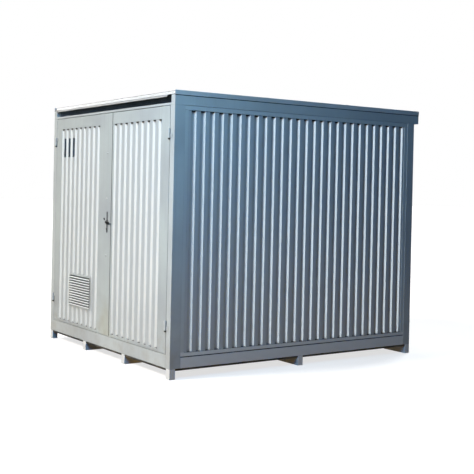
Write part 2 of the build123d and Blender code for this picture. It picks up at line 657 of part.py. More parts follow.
def bushing(x, y, z, height, radius, sheds):
    """An insulator with sheds and a metal stud, as one turned profile."""
    side = Plane((x, y, z), x_dir=(1, 0, 0), z_dir=(0, -1, 0))
    step = height * 0.8 / sheds
    outline = [(0, 0), (radius, 0)]
    for i in range(sheds):
        base = height * 0.08 + i * step
        outline.append((radius * 0.6, base))
        outline.append((radius, base + step * 0.25))
        outline.append((radius * 0.6, base + step * 0.6))
    outline += [(radius * 0.3, height * 0.9), (radius * 0.3, height), (0, height)]
    face = make_face(side * Polyline(*outline, close=True))
    return revolve(face, Axis((x, y, z), (0, 0, 1)))


def make_bushings():
    z = TANK_Z[1] + COVER_T
    save("hv_bushings", *[bushing(x, HV_Y, z, HV_H, 55, 6) for x in HV_X])
    save("lv_bushings", *[bushing(x, LV_Y, z, LV_H, 40, 2) for x in LV_X])
    knob = rod_z(*TAP_XY, z + TAP_BOSS + 0.5, z + 40, 28)
    knob += block(TAP_XY[0] - 5, TAP_XY[0] + 5, TAP_XY[1] - 38, TAP_XY[1], z + 40, z + 52)
    save("tap_knob", knob)


def make_lv_bus_run():
    """Four copper bars from the low-voltage bushings to the cabinet, in straight lengths."""
    top = TANK_Z[1] + COVER_T + LV_H
    w, t = BUS_W / 2, BUS_T
    lengths = []
    for i, x in enumerate(LV_X):
        level, lane = BUS_LEVEL + BUS_STEP[1] * i, BUS_LANE - BUS_STEP[0] * i
        lengths.append(block(x - t, x, LV_Y - w, LV_Y + w, top, level))
        lengths.append(block(lane - w, x, LV_Y - w, LV_Y + w, level, level + t))
        lengths.append(block(lane - w, lane + w, GEAR_Y - w, LV_Y - w, level, level + t))
        lengths.append(block(lane - w, lane + w, GEAR_Y - w, GEAR_Y - w + t, BUS_FOOT, level))
    save("lv_busbars", *lengths)


def make_hv_bus_rods():
    """Three stiff insulated rods from the high-voltage bushings to the switch."""
    top = TANK_Z[1] + COVER_T + HV_H
    rods = []
    for i, (x, lane) in enumerate(zip(reversed(HV_X), ROD_LANES)):
        level = ROD_LEVEL + ROD_STEP * i
        route = [(x, HV_Y, top), (x, HV_Y, level), (lane, HV_Y, level), (lane, GEAR_Y, level),
                 (lane, GEAR_Y, SWITCH_TOP)]
        path = FilletPolyline(*route, radius=BUS_ROD_BEND)
        start = Plane(origin=path @ 0, z_dir=path % 0)
        rods.append(sweep(start * Circle(BUS_ROD_R), path=path))
    save("hv_bus_rods", *rods)


# ---- cabinets --------------------------------------------------------------
def cabinet_shell():
    """The right-hand cabinet: open at the front and the bottom."""
    y0, y1 = CAB_Y
    t = CAB_T
    shell = block(CAB_FACE + 1, CAB_BACK, y0, y1, Z_FLOOR, CAB_TOP)
    return shell - block(CAB_FACE, CAB_BACK - t, y0 + t, y1 - t, Z_FLOOR - 1, CAB_TOP - t)


def cabinet_door():
    """The right-hand cabinet's door, with its handle, hinged at its rear edge."""
    y0, y1 = CAB_Y[0] + 2, CAB_Y[1] - 6
    x0, x1 = CAB_FACE - CAB_DOOR_T, CAB_FACE
    door = block(x0, x1, y0, y1, Z_FLOOR + 10, CAB_TOP)
    door -= block(x0 + 2, x1 + 1, y0 + 2, y1 - 2, Z_FLOOR + 12, CAB_TOP - 2)
    return door + block(x0 - 22, x0, y0 + 40, y0 + 56, 1080, 1230)


def cabinet_hinges():
    """Body and door halves of the right-hand cabinet's two hinges."""
    x, y, r = CAB_FACE - CAB_DOOR_T - 8, CAB_Y[1] - 2, 6.0
    body, door = [], []
    for z in (400.0, 1700.0):
        half = rod_z(x, y, z, z + 29.5, r) + rod_z(x, y, z + 20, z + 56, 3)
        body.append(half + block(x, x + 56, y + 2, y + 5, z + 2, z + 26))
        knuckle = rod_z(x, y, z + 30, z + 60, r) + block(x + 4, x + 8, y - 34, y - 3, z + 34, z + 58)
        door.append(knuckle - rod_z(x, y, z + 29, z + 57, 3 + RUN_FIT))
    return body, door


def make_cabinets():
    shell, door = cabinet_shell(), cabinet_door()
    body_hinges, door_hinges = cabinet_hinges()
    hv = shell
    for lane in ROD_LANES:
        hv -= rod_z(lane, GEAR_Y, CAB_TOP - 10, CAB_TOP + 1, BUS_ROD_R + 4)
    save("hv_cabinet", hv)
    slot = block(-1060, -850, GEAR_Y - 40, GEAR_Y + 40, CAB_TOP - 10, CAB_TOP + 1)
    save("lv_cabinet", mirror_x(shell) - slot)
    for hinge in door_hinges:
        door += hinge
    save("hv_cabinet_door", door)
    save("lv_cabinet_door", mirror_x(door))
    save("cabinet_hinges", *body_hinges, *[mirror_x(hinge) for hinge in body_hinges])


def make_switchgear():
    """The high-voltage switch, with its lever, and the low-voltage breakers, with theirs."""
    back = CAB_BACK - CAB_T
    switch = block(SWITCH_FACE, back, GEAR_Y - 230, GEAR_Y + 230, *SWITCH_Z)
    for x in ROD_LANES:
        switch += block(x - 22, x + 22, GEAR_Y - 22, GEAR_Y + 22, SWITCH_Z[1], SWITCH_TOP)
    boss = SWITCH_FACE - 25
    switch += rod_x(GEAR_Y, SWITCH_SHAFT_Z, boss, SWITCH_FACE, 40)
    save("hv_switch", switch)
    lever = rod_x(GEAR_Y, SWITCH_SHAFT_Z, boss - 25, boss - 0.5, 22)
    lever += block(boss - 25, boss - 13, GEAR_Y - 12, GEAR_Y + 12, SWITCH_SHAFT_Z, SWITCH_SHAFT_Z + 140)
    save("hv_switch_lever", lever)
    blocks = [block(-back, -1000, GEAR_Y - 110, GEAR_Y + 110, *MAIN_Z)]
    blocks[0] += block(-1000, -990, GEAR_Y - 60, GEAR_Y + 60, 1460, 1510)
    for i in range(5):
        y = -1210 + i * 106
        blocks.append(block(-back, -1030, y, y + 80, 800, 1100))
    blocks.append(block(-back, -1080, -1220, -680, 1190, 1240))
    save("lv_breakers", *blocks)
    toggle = rod_y(TOGGLE_X, TOGGLE_Z, GEAR_Y - 20, GEAR_Y + 20, 7)
    toggle += block(TOGGLE_X, TOGGLE_X + 42, GEAR_Y - 15, GEAR_Y + 15, TOGGLE_Z - 6, TOGGLE_Z + 6)
    save("breaker_toggle", toggle)


def main():
    os.makedirs("parts", exist_ok=True)
    make_feet()
    make_sump_pan()
    make_base_frame()
    make_front_sill()
    make_floor_plate()
    make_gland_plates()
    make_corner_posts()
    make_wall_sheets()
    make_wall_trim()
    make_wall_girts()
    make_roof_frame()
    make_roof_sheet()
    make_front_flashing()
    make_front_header()
    make_vent_mesh()
    make_door_stops()
    make_door_seals()
    make_hinges()
    make_left_leaf()
    make_right_leaf()
    make_louvre()
    make_lock()
    make_keeper_and_shoot_bolts()
    make_transformer_body()
    make_core_and_windings()
    make_bushings()
    make_lv_bus_run()
    make_hv_bus_rods()
    make_cabinets()
    make_switchgear()


main()
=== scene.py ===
import json
import math

import bmesh
import bpy
from mathutils import Matrix, Vector


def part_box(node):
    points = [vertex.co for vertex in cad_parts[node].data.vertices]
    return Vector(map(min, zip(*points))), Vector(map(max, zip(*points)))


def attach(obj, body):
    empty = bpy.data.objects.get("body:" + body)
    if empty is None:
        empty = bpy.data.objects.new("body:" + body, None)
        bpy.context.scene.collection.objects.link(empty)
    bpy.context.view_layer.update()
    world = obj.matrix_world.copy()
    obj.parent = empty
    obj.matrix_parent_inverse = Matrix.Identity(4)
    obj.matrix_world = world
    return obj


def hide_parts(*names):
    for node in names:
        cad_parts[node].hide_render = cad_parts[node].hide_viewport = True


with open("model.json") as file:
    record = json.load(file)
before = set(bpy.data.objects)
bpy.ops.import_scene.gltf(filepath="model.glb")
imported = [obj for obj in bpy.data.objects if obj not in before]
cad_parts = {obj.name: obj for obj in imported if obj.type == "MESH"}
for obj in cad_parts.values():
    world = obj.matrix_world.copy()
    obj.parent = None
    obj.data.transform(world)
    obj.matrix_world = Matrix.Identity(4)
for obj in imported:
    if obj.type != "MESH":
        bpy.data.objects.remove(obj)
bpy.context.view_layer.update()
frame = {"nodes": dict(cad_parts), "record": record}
NODES = frame["nodes"]
SLOT_OF = {p["node"]: p["material_slot"] for p in frame["record"]["subparts"]}
BODY_OF = {n: b for b, names in frame["record"]["behaviour"]["bodies"].items() for n in names}
scene = bpy.context.scene
scene.view_settings.view_transform = "Standard"

# ---- camera ----------------------------------------------------------------
CAMERA_AT = Vector((7.6873, -5.6956, 1.6647))
YAW, PITCH, ROLL = (math.radians(a) for a in (57.736, 0.411, 1.212))
LENS = 67.256
SHIFT = (0.15415, -0.08747)

forward = Vector((-math.sin(YAW) * math.cos(PITCH), math.cos(YAW) * math.cos(PITCH), -math.sin(PITCH)))
level = Vector((math.cos(YAW), math.sin(YAW), 0))
above = level.cross(forward)
cam_x = math.cos(ROLL) * level + math.sin(ROLL) * above
cam_y = -math.sin(ROLL) * level + math.cos(ROLL) * above
camera = bpy.data.objects.new("camera", bpy.data.cameras.new("camera"))
camera.data.sensor_width = 36
camera.data.lens = LENS
camera.data.shift_x, camera.data.shift_y = SHIFT
camera.data.clip_end = 300
turn = Matrix((cam_x, cam_y, -forward)).transposed().to_4x4()
camera.matrix_world = Matrix.Translation(CAMERA_AT) @ turn
scene.collection.objects.link(camera)
scene.camera = camera


# ---- materials -------------------------------------------------------------
MAT = {}


class Shader:
    """Builds one node material; every pattern is in the piece's own coordinates, in metres."""

    def __init__(self, name):
        self.mat = MAT[name] = bpy.data.materials.new(name)
        self.mat.use_nodes = True
        self.tree = self.mat.node_tree
        self.bsdf = self.tree.nodes["Principled BSDF"]
        self.place = self.add("ShaderNodeTexCoord").outputs["Object"]

    def add(self, kind, **inputs):
        node = self.tree.nodes.new(kind)
        for key, value in inputs.items():
            self.put(node.inputs[key.replace("_", " ")], value)
        return node

    def put(self, socket, value):
        if isinstance(value, bpy.types.NodeSocket):
            self.tree.links.new(value, socket)
        else:
            socket.default_value = value

    def math(self, op, a, b=0.0, clamp=False):
        node = self.add("ShaderNodeMath")
        node.operation, node.use_clamp = op, clamp
        self.put(node.inputs[0], a)
        self.put(node.inputs[1], b)
        return node.outputs[0]

    def times(self, a, b):
        return self.math("MULTIPLY", a, b)

    def ramp(self, value, low, high, out_low=0.0, out_high=1.0):
        node = self.add("ShaderNodeMapRange")
        node.interpolation_type = "SMOOTHSTEP"
        for i, v in enumerate((value, low, high, out_low, out_high)):
            self.put(node.inputs[i], v)
        return node.outputs[0]

    def noise(self, scale, detail=2.0, stretch=(1, 1, 1), rough=0.5, seed=0.0):
        shift = self.add("ShaderNodeMapping")
        self.put(shift.inputs["Vector"], self.place)
        shift.inputs["Scale"].default_value = stretch
        shift.inputs["Location"].default_value = (seed, seed * 1.7, seed * 0.6)
        node = self.add("ShaderNodeTexNoise")
        self.put(node.inputs["Vector"], shift.outputs[0])
        node.inputs["Scale"].default_value = scale
        node.inputs["Detail"].default_value = detail
        node.inputs["Roughness"].default_value = rough
        return node.outputs[0]

    def mix(self, factor, a, b, kind="MIX"):
        node = self.add("ShaderNodeMix")
        node.data_type, node.blend_type = "RGBA", kind
        self.put(node.inputs[0], factor)
        for socket, value in ((node.inputs[6], a), (node.inputs[7], b)):
            self.put(socket, (*value, 1.0) if isinstance(value, tuple) else value)
        return node.outputs[2]

    def part_of(self, vector, axis):
        split = self.add("ShaderNodeSeparateXYZ")
        self.put(split.inputs[0], vector)
        return split.outputs[axis]

    def normal(self):
        return self.add("ShaderNodeNewGeometry").outputs["Normal"]

    def spot(self, centre, size, edge=0.6):
        """1 inside an ellipsoid round centre, falling to 0 at its edge, with a ragged border."""
        shift = self.add("ShaderNodeMapping")
        shift.vector_type = "TEXTURE"
        self.put(shift.inputs["Vector"], self.place)
        shift.inputs["Location"].default_value = centre
        shift.inputs["Scale"].default_value = size
        length = self.add("ShaderNodeVectorMath")
        length.operation = "LENGTH"
        self.put(length.inputs[0], shift.outputs[0])
        ragged = self.math("ADD", length.outputs["Value"], self.times(self.noise(28, 4), edge))
        return self.ramp(ragged, 1.0 + edge, 0.35 + edge * 0.5)

    def bump(self, height, strength, distance, under=None):
        node = self.add("ShaderNodeBump")
        node.inputs["Strength"].default_value = strength
        node.inputs["Distance"].default_value = distance
        self.put(node.inputs["Height"], height)
        if under is not None:
            self.put(node.inputs["Normal"], under)
        return node.outputs[0]

    def finish(self, color, rough, normal=None, **values):
        self.put(self.bsdf.inputs["Base Color"], color)
        self.put(self.bsdf.inputs["Roughness"], rough)
        if normal is not None:
            self.put(self.bsdf.inputs["Normal"], normal)
        for key, value in values.items():
            self.put(self.bsdf.inputs[key.replace("_", " ")], value)
        return self.mat


def edge_mask(s, radius=0.004):
    """Bright along edges: where the rounded normal leaves the true one."""
    soft = s.add("ShaderNodeBevel")
    soft.samples = 4
    soft.inputs["Radius"].default_value = radius
    dot = s.add("ShaderNodeVectorMath")
    dot.operation = "DOT_PRODUCT"
    s.put(dot.inputs[0], soft.outputs[0])
    s.put(dot.inputs[1], s.normal())
    return s.ramp(dot.outputs["Value"], 0.995, 0.86)


def painted_crevice_shade(s, reach):
    """1 in corners, joints and groove floors, 0 in the open: where painted shade goes."""
    node = s.add("ShaderNodeAmbientOcclusion")
    node.samples = 6
    node.inputs["Distance"].default_value = reach
    return s.ramp(node.outputs["AO"], 0.86, 0.4)


DUST, RUST, RAW_STEEL = (0.33, 0.28, 0.2), (0.16, 0.09, 0.045), (0.2, 0.17, 0.15)
# The first colour here is the paler one laid low down; SHADE is the near-black of painted shade.
PALER_LOW, FALLEN, SHADE = (0.84, 0.85, 0.82), (0.17, 0.165, 0.15), (0.012, 0.013, 0.014)


def scaled(color, *factors):
    """The colour times one factor, or times one factor for each channel."""
    return tuple(c * f for c, f in zip(color, factors * 3))


def paint(name, color, rough=0.36, grime=1.0, wear=0.6, peel=0.25, coat=0.0, tint=(1.0, 1.0, 1.0),
          stains=(), seed=0.0, spec=0.5, corners=0.75, reach=0.012, patchy=1.0, fallout=0.0, paler_low=0.0, painted_shade_span=None):
    """Weathered paint on steel: cloudy colour, rain streaks, dust low down, chips at the edges.

    corners and reach paint shade into joints, corners and groove floors; fallout dirties level tops; the paling
    factor makes what lies below the paling height paler; and the shade span is the depth painted dark as shade."""
    s = Shader(name)
    dark = scaled(color, 0.86)
    light = tuple(min(1.0, c * t * 1.05) for c, t in zip(color, tint))
    base = s.mix(s.ramp(s.noise(1.3, 3, seed=seed), 0.3, 0.7), dark if grime > 0.5 else color, light)
    base = s.mix(s.ramp(s.noise(26, 4, seed=seed + 3), 0.35, 0.75, 0.0, 0.16 * grime), base, dark)
    streak = s.ramp(s.noise(1.0, 5, (34, 34, 0.7), 0.6, seed), 0.52, 0.8, 0.0, 0.26 * grime)
    base = s.mix(streak, base, scaled(color, 0.62, 0.62, 0.58))
    z = s.part_of(s.place, 2)
    low = s.times(s.ramp(z, 0.75, 0.1), s.ramp(s.noise(9, 5, seed=seed + 7), 0.38, 0.72))
    dust = s.times(low, 0.34 * grime)
    base = s.mix(dust, base, DUST)
    clouds = s.ramp(s.noise(4, 2, seed=seed), 0.5, 0.68)
    speck = s.times(s.ramp(s.noise(70, 3, seed=seed + 1), 0.74, 0.8), clouds)
    base = s.mix(s.times(speck, 0.7 * grime), base, RUST)
    for centre, size, stain, amount in stains:
        base = s.mix(s.times(s.spot(centre, size), amount), base, stain)
    # Painted shade: over the span behind the blade fronts, and on ends facing ±X, the colour goes near black.
    if painted_shade_span:
        ends = s.ramp(s.math("ABSOLUTE", s.part_of(s.normal(), 0)), 0.7, 0.9)
        shade = s.math("MAXIMUM", s.ramp(s.part_of(s.place, 1), *painted_shade_span), ends)
        base = s.mix(s.times(shade, 0.96), base, SHADE)
    # Paler on what lies below the paling height.
    if paler_low:
        base = s.mix(s.times(s.ramp(z, PALER_TOP + 0.005, PALER_TOP - 0.005), paler_low), base, PALER_LOW)
    if fallout:
        pools = s.ramp(s.noise(2.6, 6, (1, 1, 1), 0.62, seed + 9), 0.25, 0.7, 0.55, 1.0)
        level_tops = s.times(s.ramp(s.part_of(s.normal(), 2), 0.7, 0.95), pools)
        base = s.mix(s.times(level_tops, fallout), base, FALLEN)
    # Painted shade: darker where ambient occlusion finds corners, joints and groove floors.
    base = s.mix(s.times(painted_crevice_shade(s, reach), corners), base, scaled(color, 0.16))
    film = s.ramp(s.noise(14, 3, seed=seed + 5), 0.3, 0.7, rough - 0.05 * patchy, rough + 0.08 * patchy)
    shine = s.math("ADD", film, s.times(dust, 0.8))
    if wear:
        chips = s.times(edge_mask(s), s.ramp(s.noise(90, 4, seed=seed + 2), 0.5, 0.68, 0.0, wear))
        base = s.mix(chips, base, RAW_STEEL)
        shine = s.math("ADD", shine, s.times(chips, 0.2))
    normal = s.bump(s.noise(420, 2, seed=seed), peel, 0.0004)
    normal = s.bump(s.noise(2.2, 1, seed=seed + 4), 0.35, 0.004, normal)
    return s.finish(base, shine, normal, Coat_Weight=coat, Coat_Roughness=0.22, Specular_IOR_Level=spec)


def bare_metal(name, color, rough=0.35, grain=(1, 1, 60), rust=0.25, seed=0.0):
    """Plated or bare steel: drawn grain, dull blotches and a little rust."""
    s = Shader(name)
    dark = scaled(color, 0.7)
    base = s.mix(s.ramp(s.noise(16, 4, seed=seed), 0.3, 0.7), color, dark)
    base = s.mix(s.ramp(s.noise(3, 3, scaled(grain, 4), seed=seed), 0.4, 0.7, 0.0, 0.35), base, dark)
    spots = s.ramp(s.noise(45, 5, seed=seed + 2), 0.62, 0.76, 0.0, rust)
    base = s.mix(spots, base, (0.2, 0.09, 0.035))
    film = s.ramp(s.noise(30, 3, seed=seed), 0.3, 0.7, rough - 0.08, rough + 0.12)
    shine = s.math("ADD", film, s.times(spots, 0.5))
    metal = s.ramp(spots, 0.02, 0.2, 1.0, 0.2)
    normal = s.bump(s.noise(8, 4, scaled(grain, 9), seed=seed), 0.3, 0.0003)
    return s.finish(base, shine, normal, Metallic=metal)


def moulded(name, color, rough=0.45, grain=900, seed=0.0, coat=0.0):
    """Rubber, plastic or cast resin with a fine grain and a dusty film."""
    s = Shader(name)
    light = tuple(min(1.0, c * 1.5 + 0.015) for c in color)
    base = s.mix(s.ramp(s.noise(11, 4, seed=seed), 0.4, 0.75, 0.0, 0.6), color, light)
    base = s.mix(s.ramp(s.noise(120, 3, seed=seed + 1), 0.55, 0.75, 0.0, 0.3), base, light)
    shine = s.ramp(s.noise(25, 3, seed=seed), 0.3, 0.7, rough - 0.08, rough + 0.1)
    normal = s.bump(s.noise(grain, 3, seed=seed), 0.35, 0.0004)
    return s.finish(base, shine, normal, Coat_Weight=coat)


def chequer(name, color):
    """Floor plate with a raised lozenge pattern, worn bright on its tops."""
    s = Shader(name)
    height = None
    for angle in (45, -45):
        turned = s.add("ShaderNodeMapping")
        s.put(turned.inputs["Vector"], s.place)
        turned.inputs["Rotation"].default_value = (0, 0, math.radians(angle))
        turned.inputs["Scale"].default_value = (22, 60, 1)
        cell = s.add("ShaderNodeTexVoronoi")
        s.put(cell.inputs["Vector"], turned.outputs[0])
        cell.inputs["Scale"].default_value = 1.0
        cell.inputs["Randomness"].default_value = 0.0
        one = s.ramp(cell.outputs["Distance"], 0.33, 0.22)
        height = one if height is None else s.math("MAXIMUM", height, one)
    worn = s.times(height, s.ramp(s.noise(5, 4), 0.35, 0.7))
    base = s.mix(s.ramp(s.noise(7, 5), 0.3, 0.7), color, scaled(color, 0.7))
    base = s.mix(s.times(worn, 0.6), base, (0.42, 0.42, 0.41))
    base = s.mix(s.ramp(s.noise(40, 4, seed=3), 0.55, 0.75, 0.0, 0.35), base, (0.22, 0.18, 0.13))
    rough = s.ramp(worn, 0, 1, 0.6, 0.35)
    return s.finish(base, rough, s.bump(height, 0.8, 0.0015), Metallic=s.times(worn, 0.5))


def laminated(name, color):
    """Stacked core sheets: fine lines across the stack."""
    s = Shader(name)
    lines = s.noise(1.0, 3, (2, 900, 2))
    base = s.mix(s.ramp(lines, 0.35, 0.65), color, scaled(color, 0.55))
    return s.finish(base, s.ramp(lines, 0.3, 0.7, 0.3, 0.55), s.bump(lines, 0.5, 0.0004), Metallic=0.85)


def wound(name, color):
    """Copper turns under a clear varnish, or bare copper bar where the lines are too fine to show."""
    s = Shader(name)
    lines = s.noise(1.0, 2, (3, 3, 260))
    base = s.mix(s.ramp(lines, 0.35, 0.65), color, scaled(color, 0.6, 0.45, 0.4))
    base = s.mix(s.ramp(s.noise(12, 5), 0.55, 0.75, 0.0, 0.5), base, (0.2, 0.13, 0.09))
    return s.finish(base, s.ramp(s.noise(20, 3), 0.3, 0.7, 0.25, 0.42), s.bump(lines, 0.25, 0.0004), Metallic=0.95)


# ---- places read off the CAD, and the materials that use them ---------------
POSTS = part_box("corner_posts")
MEET_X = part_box("left_door_frame")[1].x
DOOR_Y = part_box("left_door_frame")[0].y
SILL_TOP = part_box("front_sill")[1].z
WALL_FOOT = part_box("left_wall_sheet")[0].z
TRIM_COVER = 0.04
# The height below which the rail paint turns paler.
PALER_TOP = WALL_FOOT + TRIM_COVER + 0.005
BLADE_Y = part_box("louvre_blades")[0].y
# The span behind the blade fronts that is painted dark as shade.
BLADE_PAINTED_SHADE = (BLADE_Y + 0.0065, BLADE_Y + 0.0125)
# Stains are (centre, half sizes, colour, strength).
DOOR_STAINS = [((MEET_X - 0.08, DOOR_Y, SILL_TOP + 0.06), (0.12, 0.2, 0.3), (0.47, 0.43, 0.25), 0.26)]
RAIL_STAINS = [((POSTS[1].x, POSTS[0].y + 0.17, SILL_TOP - 0.012), (0.05, 0.075, 0.02), (0.2, 0.16, 0.11), 0.5)]
WALL_LOOK = {"rough": 0.3, "grime": 0.3, "wear": 0.0, "peel": 0.08, "coat": 0.6, "spec": 0.6, "patchy": 0.06}

paint("frame_paint", (0.56, 0.593, 0.588), 0.42, 0.7, tint=(1.0, 1.01, 0.99), stains=RAIL_STAINS)
paint("door_paint", (0.525, 0.562, 0.56), 0.4, tint=(1.0, 1.02, 0.98), stains=DOOR_STAINS, seed=5)
# Both sheet paints carry painted shade in groove floors and corners; the wall sheets' shade reaches further.
paint("sheet_paint", (0.55, 0.582, 0.574), seed=11, corners=0.7, reach=0.022, **WALL_LOOK)
paint("wall_paint", (0.555, 0.585, 0.592), seed=13, reach=0.06, **WALL_LOOK)
paint("rail_paint", (0.575, 0.61, 0.605), 0.42, 0.5, tint=(1.0, 1.01, 0.99), seed=3, paler_low=0.85)
bare_metal("hem_zinc", (0.24, 0.235, 0.22), 0.55, rust=0.1, seed=12)
paint("flashing_paint", (0.43, 0.425, 0.41), 0.5, 0.5, 0.3, 0.1, 0.0, seed=19, spec=0.3)
# Lighter than the door paint, as painted light on the lit blade faces; painted shade behind them and at their ends.
paint("louvre_paint", (0.84, 0.86, 0.85), 0.42, 0.4, 0.3, 0.2, seed=29, corners=0.3, reach=0.01, painted_shade_span=BLADE_PAINTED_SHADE)
paint("roof_paint", (0.6, 0.61, 0.6), 0.4, 0.8, 0.3, 0.12, 0.1, seed=17, fallout=0.75)
paint("pan_steel", (0.035, 0.034, 0.033), 0.6, 0.8, 0.2, seed=23)
chequer("floor_steel", (0.1, 0.105, 0.11))
bare_metal("gland_aluminium", (0.7, 0.71, 0.72), 0.4, rust=0.0, seed=2)
bare_metal("mesh_steel", (0.042, 0.06, 0.085), 0.5, rust=0.05, seed=3)
moulded("seal_rubber", (0.018, 0.018, 0.018), 0.65)
paint("hinge_steel", (0.56, 0.59, 0.58), 0.36, wear=1.0, seed=31)
bare_metal("zinc_steel", (0.6, 0.61, 0.61), 0.34, seed=4)
paint("black_paint", (0.014, 0.014, 0.015), 0.42, 0.2, 0.8, 0.5, seed=37)
paint("tank_paint", (0.3, 0.335, 0.35), 0.38, 0.7, seed=41)
laminated("core_steel", (0.33, 0.34, 0.36))
wound("winding_copper", (0.72, 0.36, 0.2))
moulded("porcelain", (0.13, 0.045, 0.022), 0.16, 60, coat=0.9)
paint("cabinet_paint", (0.6, 0.61, 0.57), 0.48, 0.35, 0.5, 0.8, seed=43)
moulded("epoxy", (0.2, 0.05, 0.03), 0.38, 500, seed=6)
moulded("moulding_grey", (0.13, 0.135, 0.145), 0.5, seed=7)
moulded("moulding_black", (0.015, 0.015, 0.016), 0.42, seed=8)
moulded("lever_red", (0.42, 0.02, 0.015), 0.35, seed=9, coat=0.4)
moulded("rod_sleeve", (0.02, 0.02, 0.022), 0.4, 300, seed=10)


# ---- mesh helpers ----------------------------------------------------------
FRONT, UP, RIGHT = (0, -1, 0), (0, 0, 1), (1, 0, 0)
JOIN = 2e-5
FLAT_ANGLE, SHARP_ANGLE = math.radians(0.6), math.radians(30)


def cad_mesh(node):
    """The CAD node's mesh with its split corners joined."""
    bm = bmesh.new()
    bm.from_mesh(NODES[node].data)
    bmesh.ops.remove_doubles(bm, verts=bm.verts, dist=JOIN)
    return bm


def islands(node):
    """(low corner, high corner) of each separate solid of a node."""
    bm = cad_mesh(node)
    left, boxes = set(bm.verts), []
    while left:
        stack, seen = [left.pop()], []
        while stack:
            vert = stack.pop()
            seen.append(vert.co.copy())
            for edge in vert.link_edges:
                other = edge.other_vert(vert)
                if other in left:
                    left.discard(other)
                    stack.append(other)
        boxes.append((Vector(map(min, *seen)), Vector(map(max, *seen))))
    bm.free()
    return sorted(boxes, key=lambda b: tuple(b[0]))


# Faces larger than this are shaded flat; and the nodes whose finish isn't their slot's own.
FLAT_AREA = 1.5e-3
OWN_FINISH = {"left_wall_sheet": "wall_paint", "right_wall_sheet": "wall_paint", "rear_wall_sheet": "wall_paint",
              "front_flashing": "flashing_paint", "louvre_blades": "louvre_paint", "base_frame": "rail_paint",
              "wall_trim": "rail_paint", "feet": "rail_paint"}


def piece(name, bm, body, slot, replaces=(), sharp=40, weighted=True):
    """Makes a mesh a piece that rides on a body, smooth except at its sharp edges."""
    bmesh.ops.recalc_face_normals(bm, faces=bm.faces)
    mesh = bpy.data.meshes.new(name)
    bm.to_mesh(mesh)
    bm.free()
    mesh.polygons.foreach_set("use_smooth", [True] * len(mesh.polygons))
    mesh.set_sharp_from_angle(angle=math.radians(sharp))
    if weighted:
        for face in mesh.polygons:
            face.use_smooth = face.area < FLAT_AREA
    mesh.materials.append(MAT[OWN_FINISH.get(replaces[0] if replaces else "", slot)])
    obj = bpy.data.objects.new(name, mesh)
    scene.collection.objects.link(obj)
    if weighted:
        modifier = obj.modifiers.new("weights", "WEIGHTED_NORMAL")
        modifier.keep_sharp = True
    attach(obj, body)
    if replaces:
        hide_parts(*replaces)
    return obj


def round_edges(bm, width):
    edges = [e for e in bm.edges if len(e.link_faces) == 2 and e.calc_face_angle(0) > SHARP_ANGLE]
    bmesh.ops.bevel(bm, geom=edges, offset=width, segments=2, profile=0.5, affect="EDGES", clamp_overlap=True)


def soften(node, width):
    """Stands for a CAD node with the same shape, its edges rounded as folded or ground steel is."""
    bm = cad_mesh(node)
    bmesh.ops.dissolve_limit(bm, angle_limit=FLAT_ANGLE, verts=bm.verts, edges=bm.edges)
    round_edges(bm, width)
    return piece(node + "_finished", bm, BODY_OF[node], SLOT_OF[node], [node])


def add_box(bm, lo, hi):
    for vert in bmesh.ops.create_cube(bm, size=1.0)["verts"]:
        vert.co = Vector((hi[i] if vert.co[i] > 0 else lo[i] for i in range(3)))


def frame_at(centre, axis):
    """A matrix that takes local +Z to axis, at centre."""
    return Matrix.Translation(Vector(centre)) @ Vector(axis).to_track_quat("Z", "Y").to_matrix().to_4x4()


def add_skin(bm, rings):
    """Walls between rings of equal length, with a face over each end."""
    for low, high in zip(rings, rings[1:]):
        for k in range(len(low)):
            m = (k + 1) % len(low)
            bm.faces.new((low[k], low[m], high[m], high[k]))
    bm.faces.new(rings[0])
    bm.faces.new(rings[-1])


def add_turned(bm, outline, centre, axis, count=20, turn=0.0):
    """A closed turned shape from (radius, height) points, its axis through centre."""
    place = frame_at(centre, axis) @ Matrix.Rotation(turn, 4, "Z")
    rings = []
    for radius, height in outline:
        if radius < 1e-6:
            rings.append([bm.verts.new(place @ Vector((0, 0, height)))])
            continue
        ring = []
        for i in range(count):
            a = 2 * math.pi * i / count
            ring.append(bm.verts.new(place @ Vector((radius * math.cos(a), radius * math.sin(a), height))))
        rings.append(ring)
    for low, high in zip(rings, rings[1:]):
        for i in range(count):
            j = (i + 1) % count
            corners = []
            for ring, k in ((low, i), (low, j), (high, j), (high, i)):
                vert = ring[k % len(ring)]
                if vert not in corners:
                    corners.append(vert)
            if len(corners) > 2:
                bm.faces.new(corners)


def pan_head(r, h):
    dome = [(r * a, h * b) for a, b in ((1, 0.35), (0.93, 0.62), (0.75, 0.85), (0.45, 0.97), (0, 1))]
    return [(0, -0.001), (r, -0.001), *dome]


def add_rod(bm, start, end, r, sides=6):
    """A straight wire, rod or pin with closed ends."""
    length = (end - start).length
    add_turned(bm, [(0, 0), (r, 0), (r, length), (0, length)], start, end - start, sides)


def add_hex(bm, centre, axis, r, h, washer=1.7, turn=0.0):
    """A hex bolt head with a chamfer, on a washer."""
    rim, seat, corner = r * washer, h * 0.22, r * 1.12
    add_turned(bm, [(0, -0.001), (rim, -0.001), (rim, seat), (0, seat)], centre, axis, 24)
    add_turned(bm, [(0, seat), (corner, seat), (corner, h * 0.86), (r * 0.95, h), (0, h)], centre, axis, 6, turn)


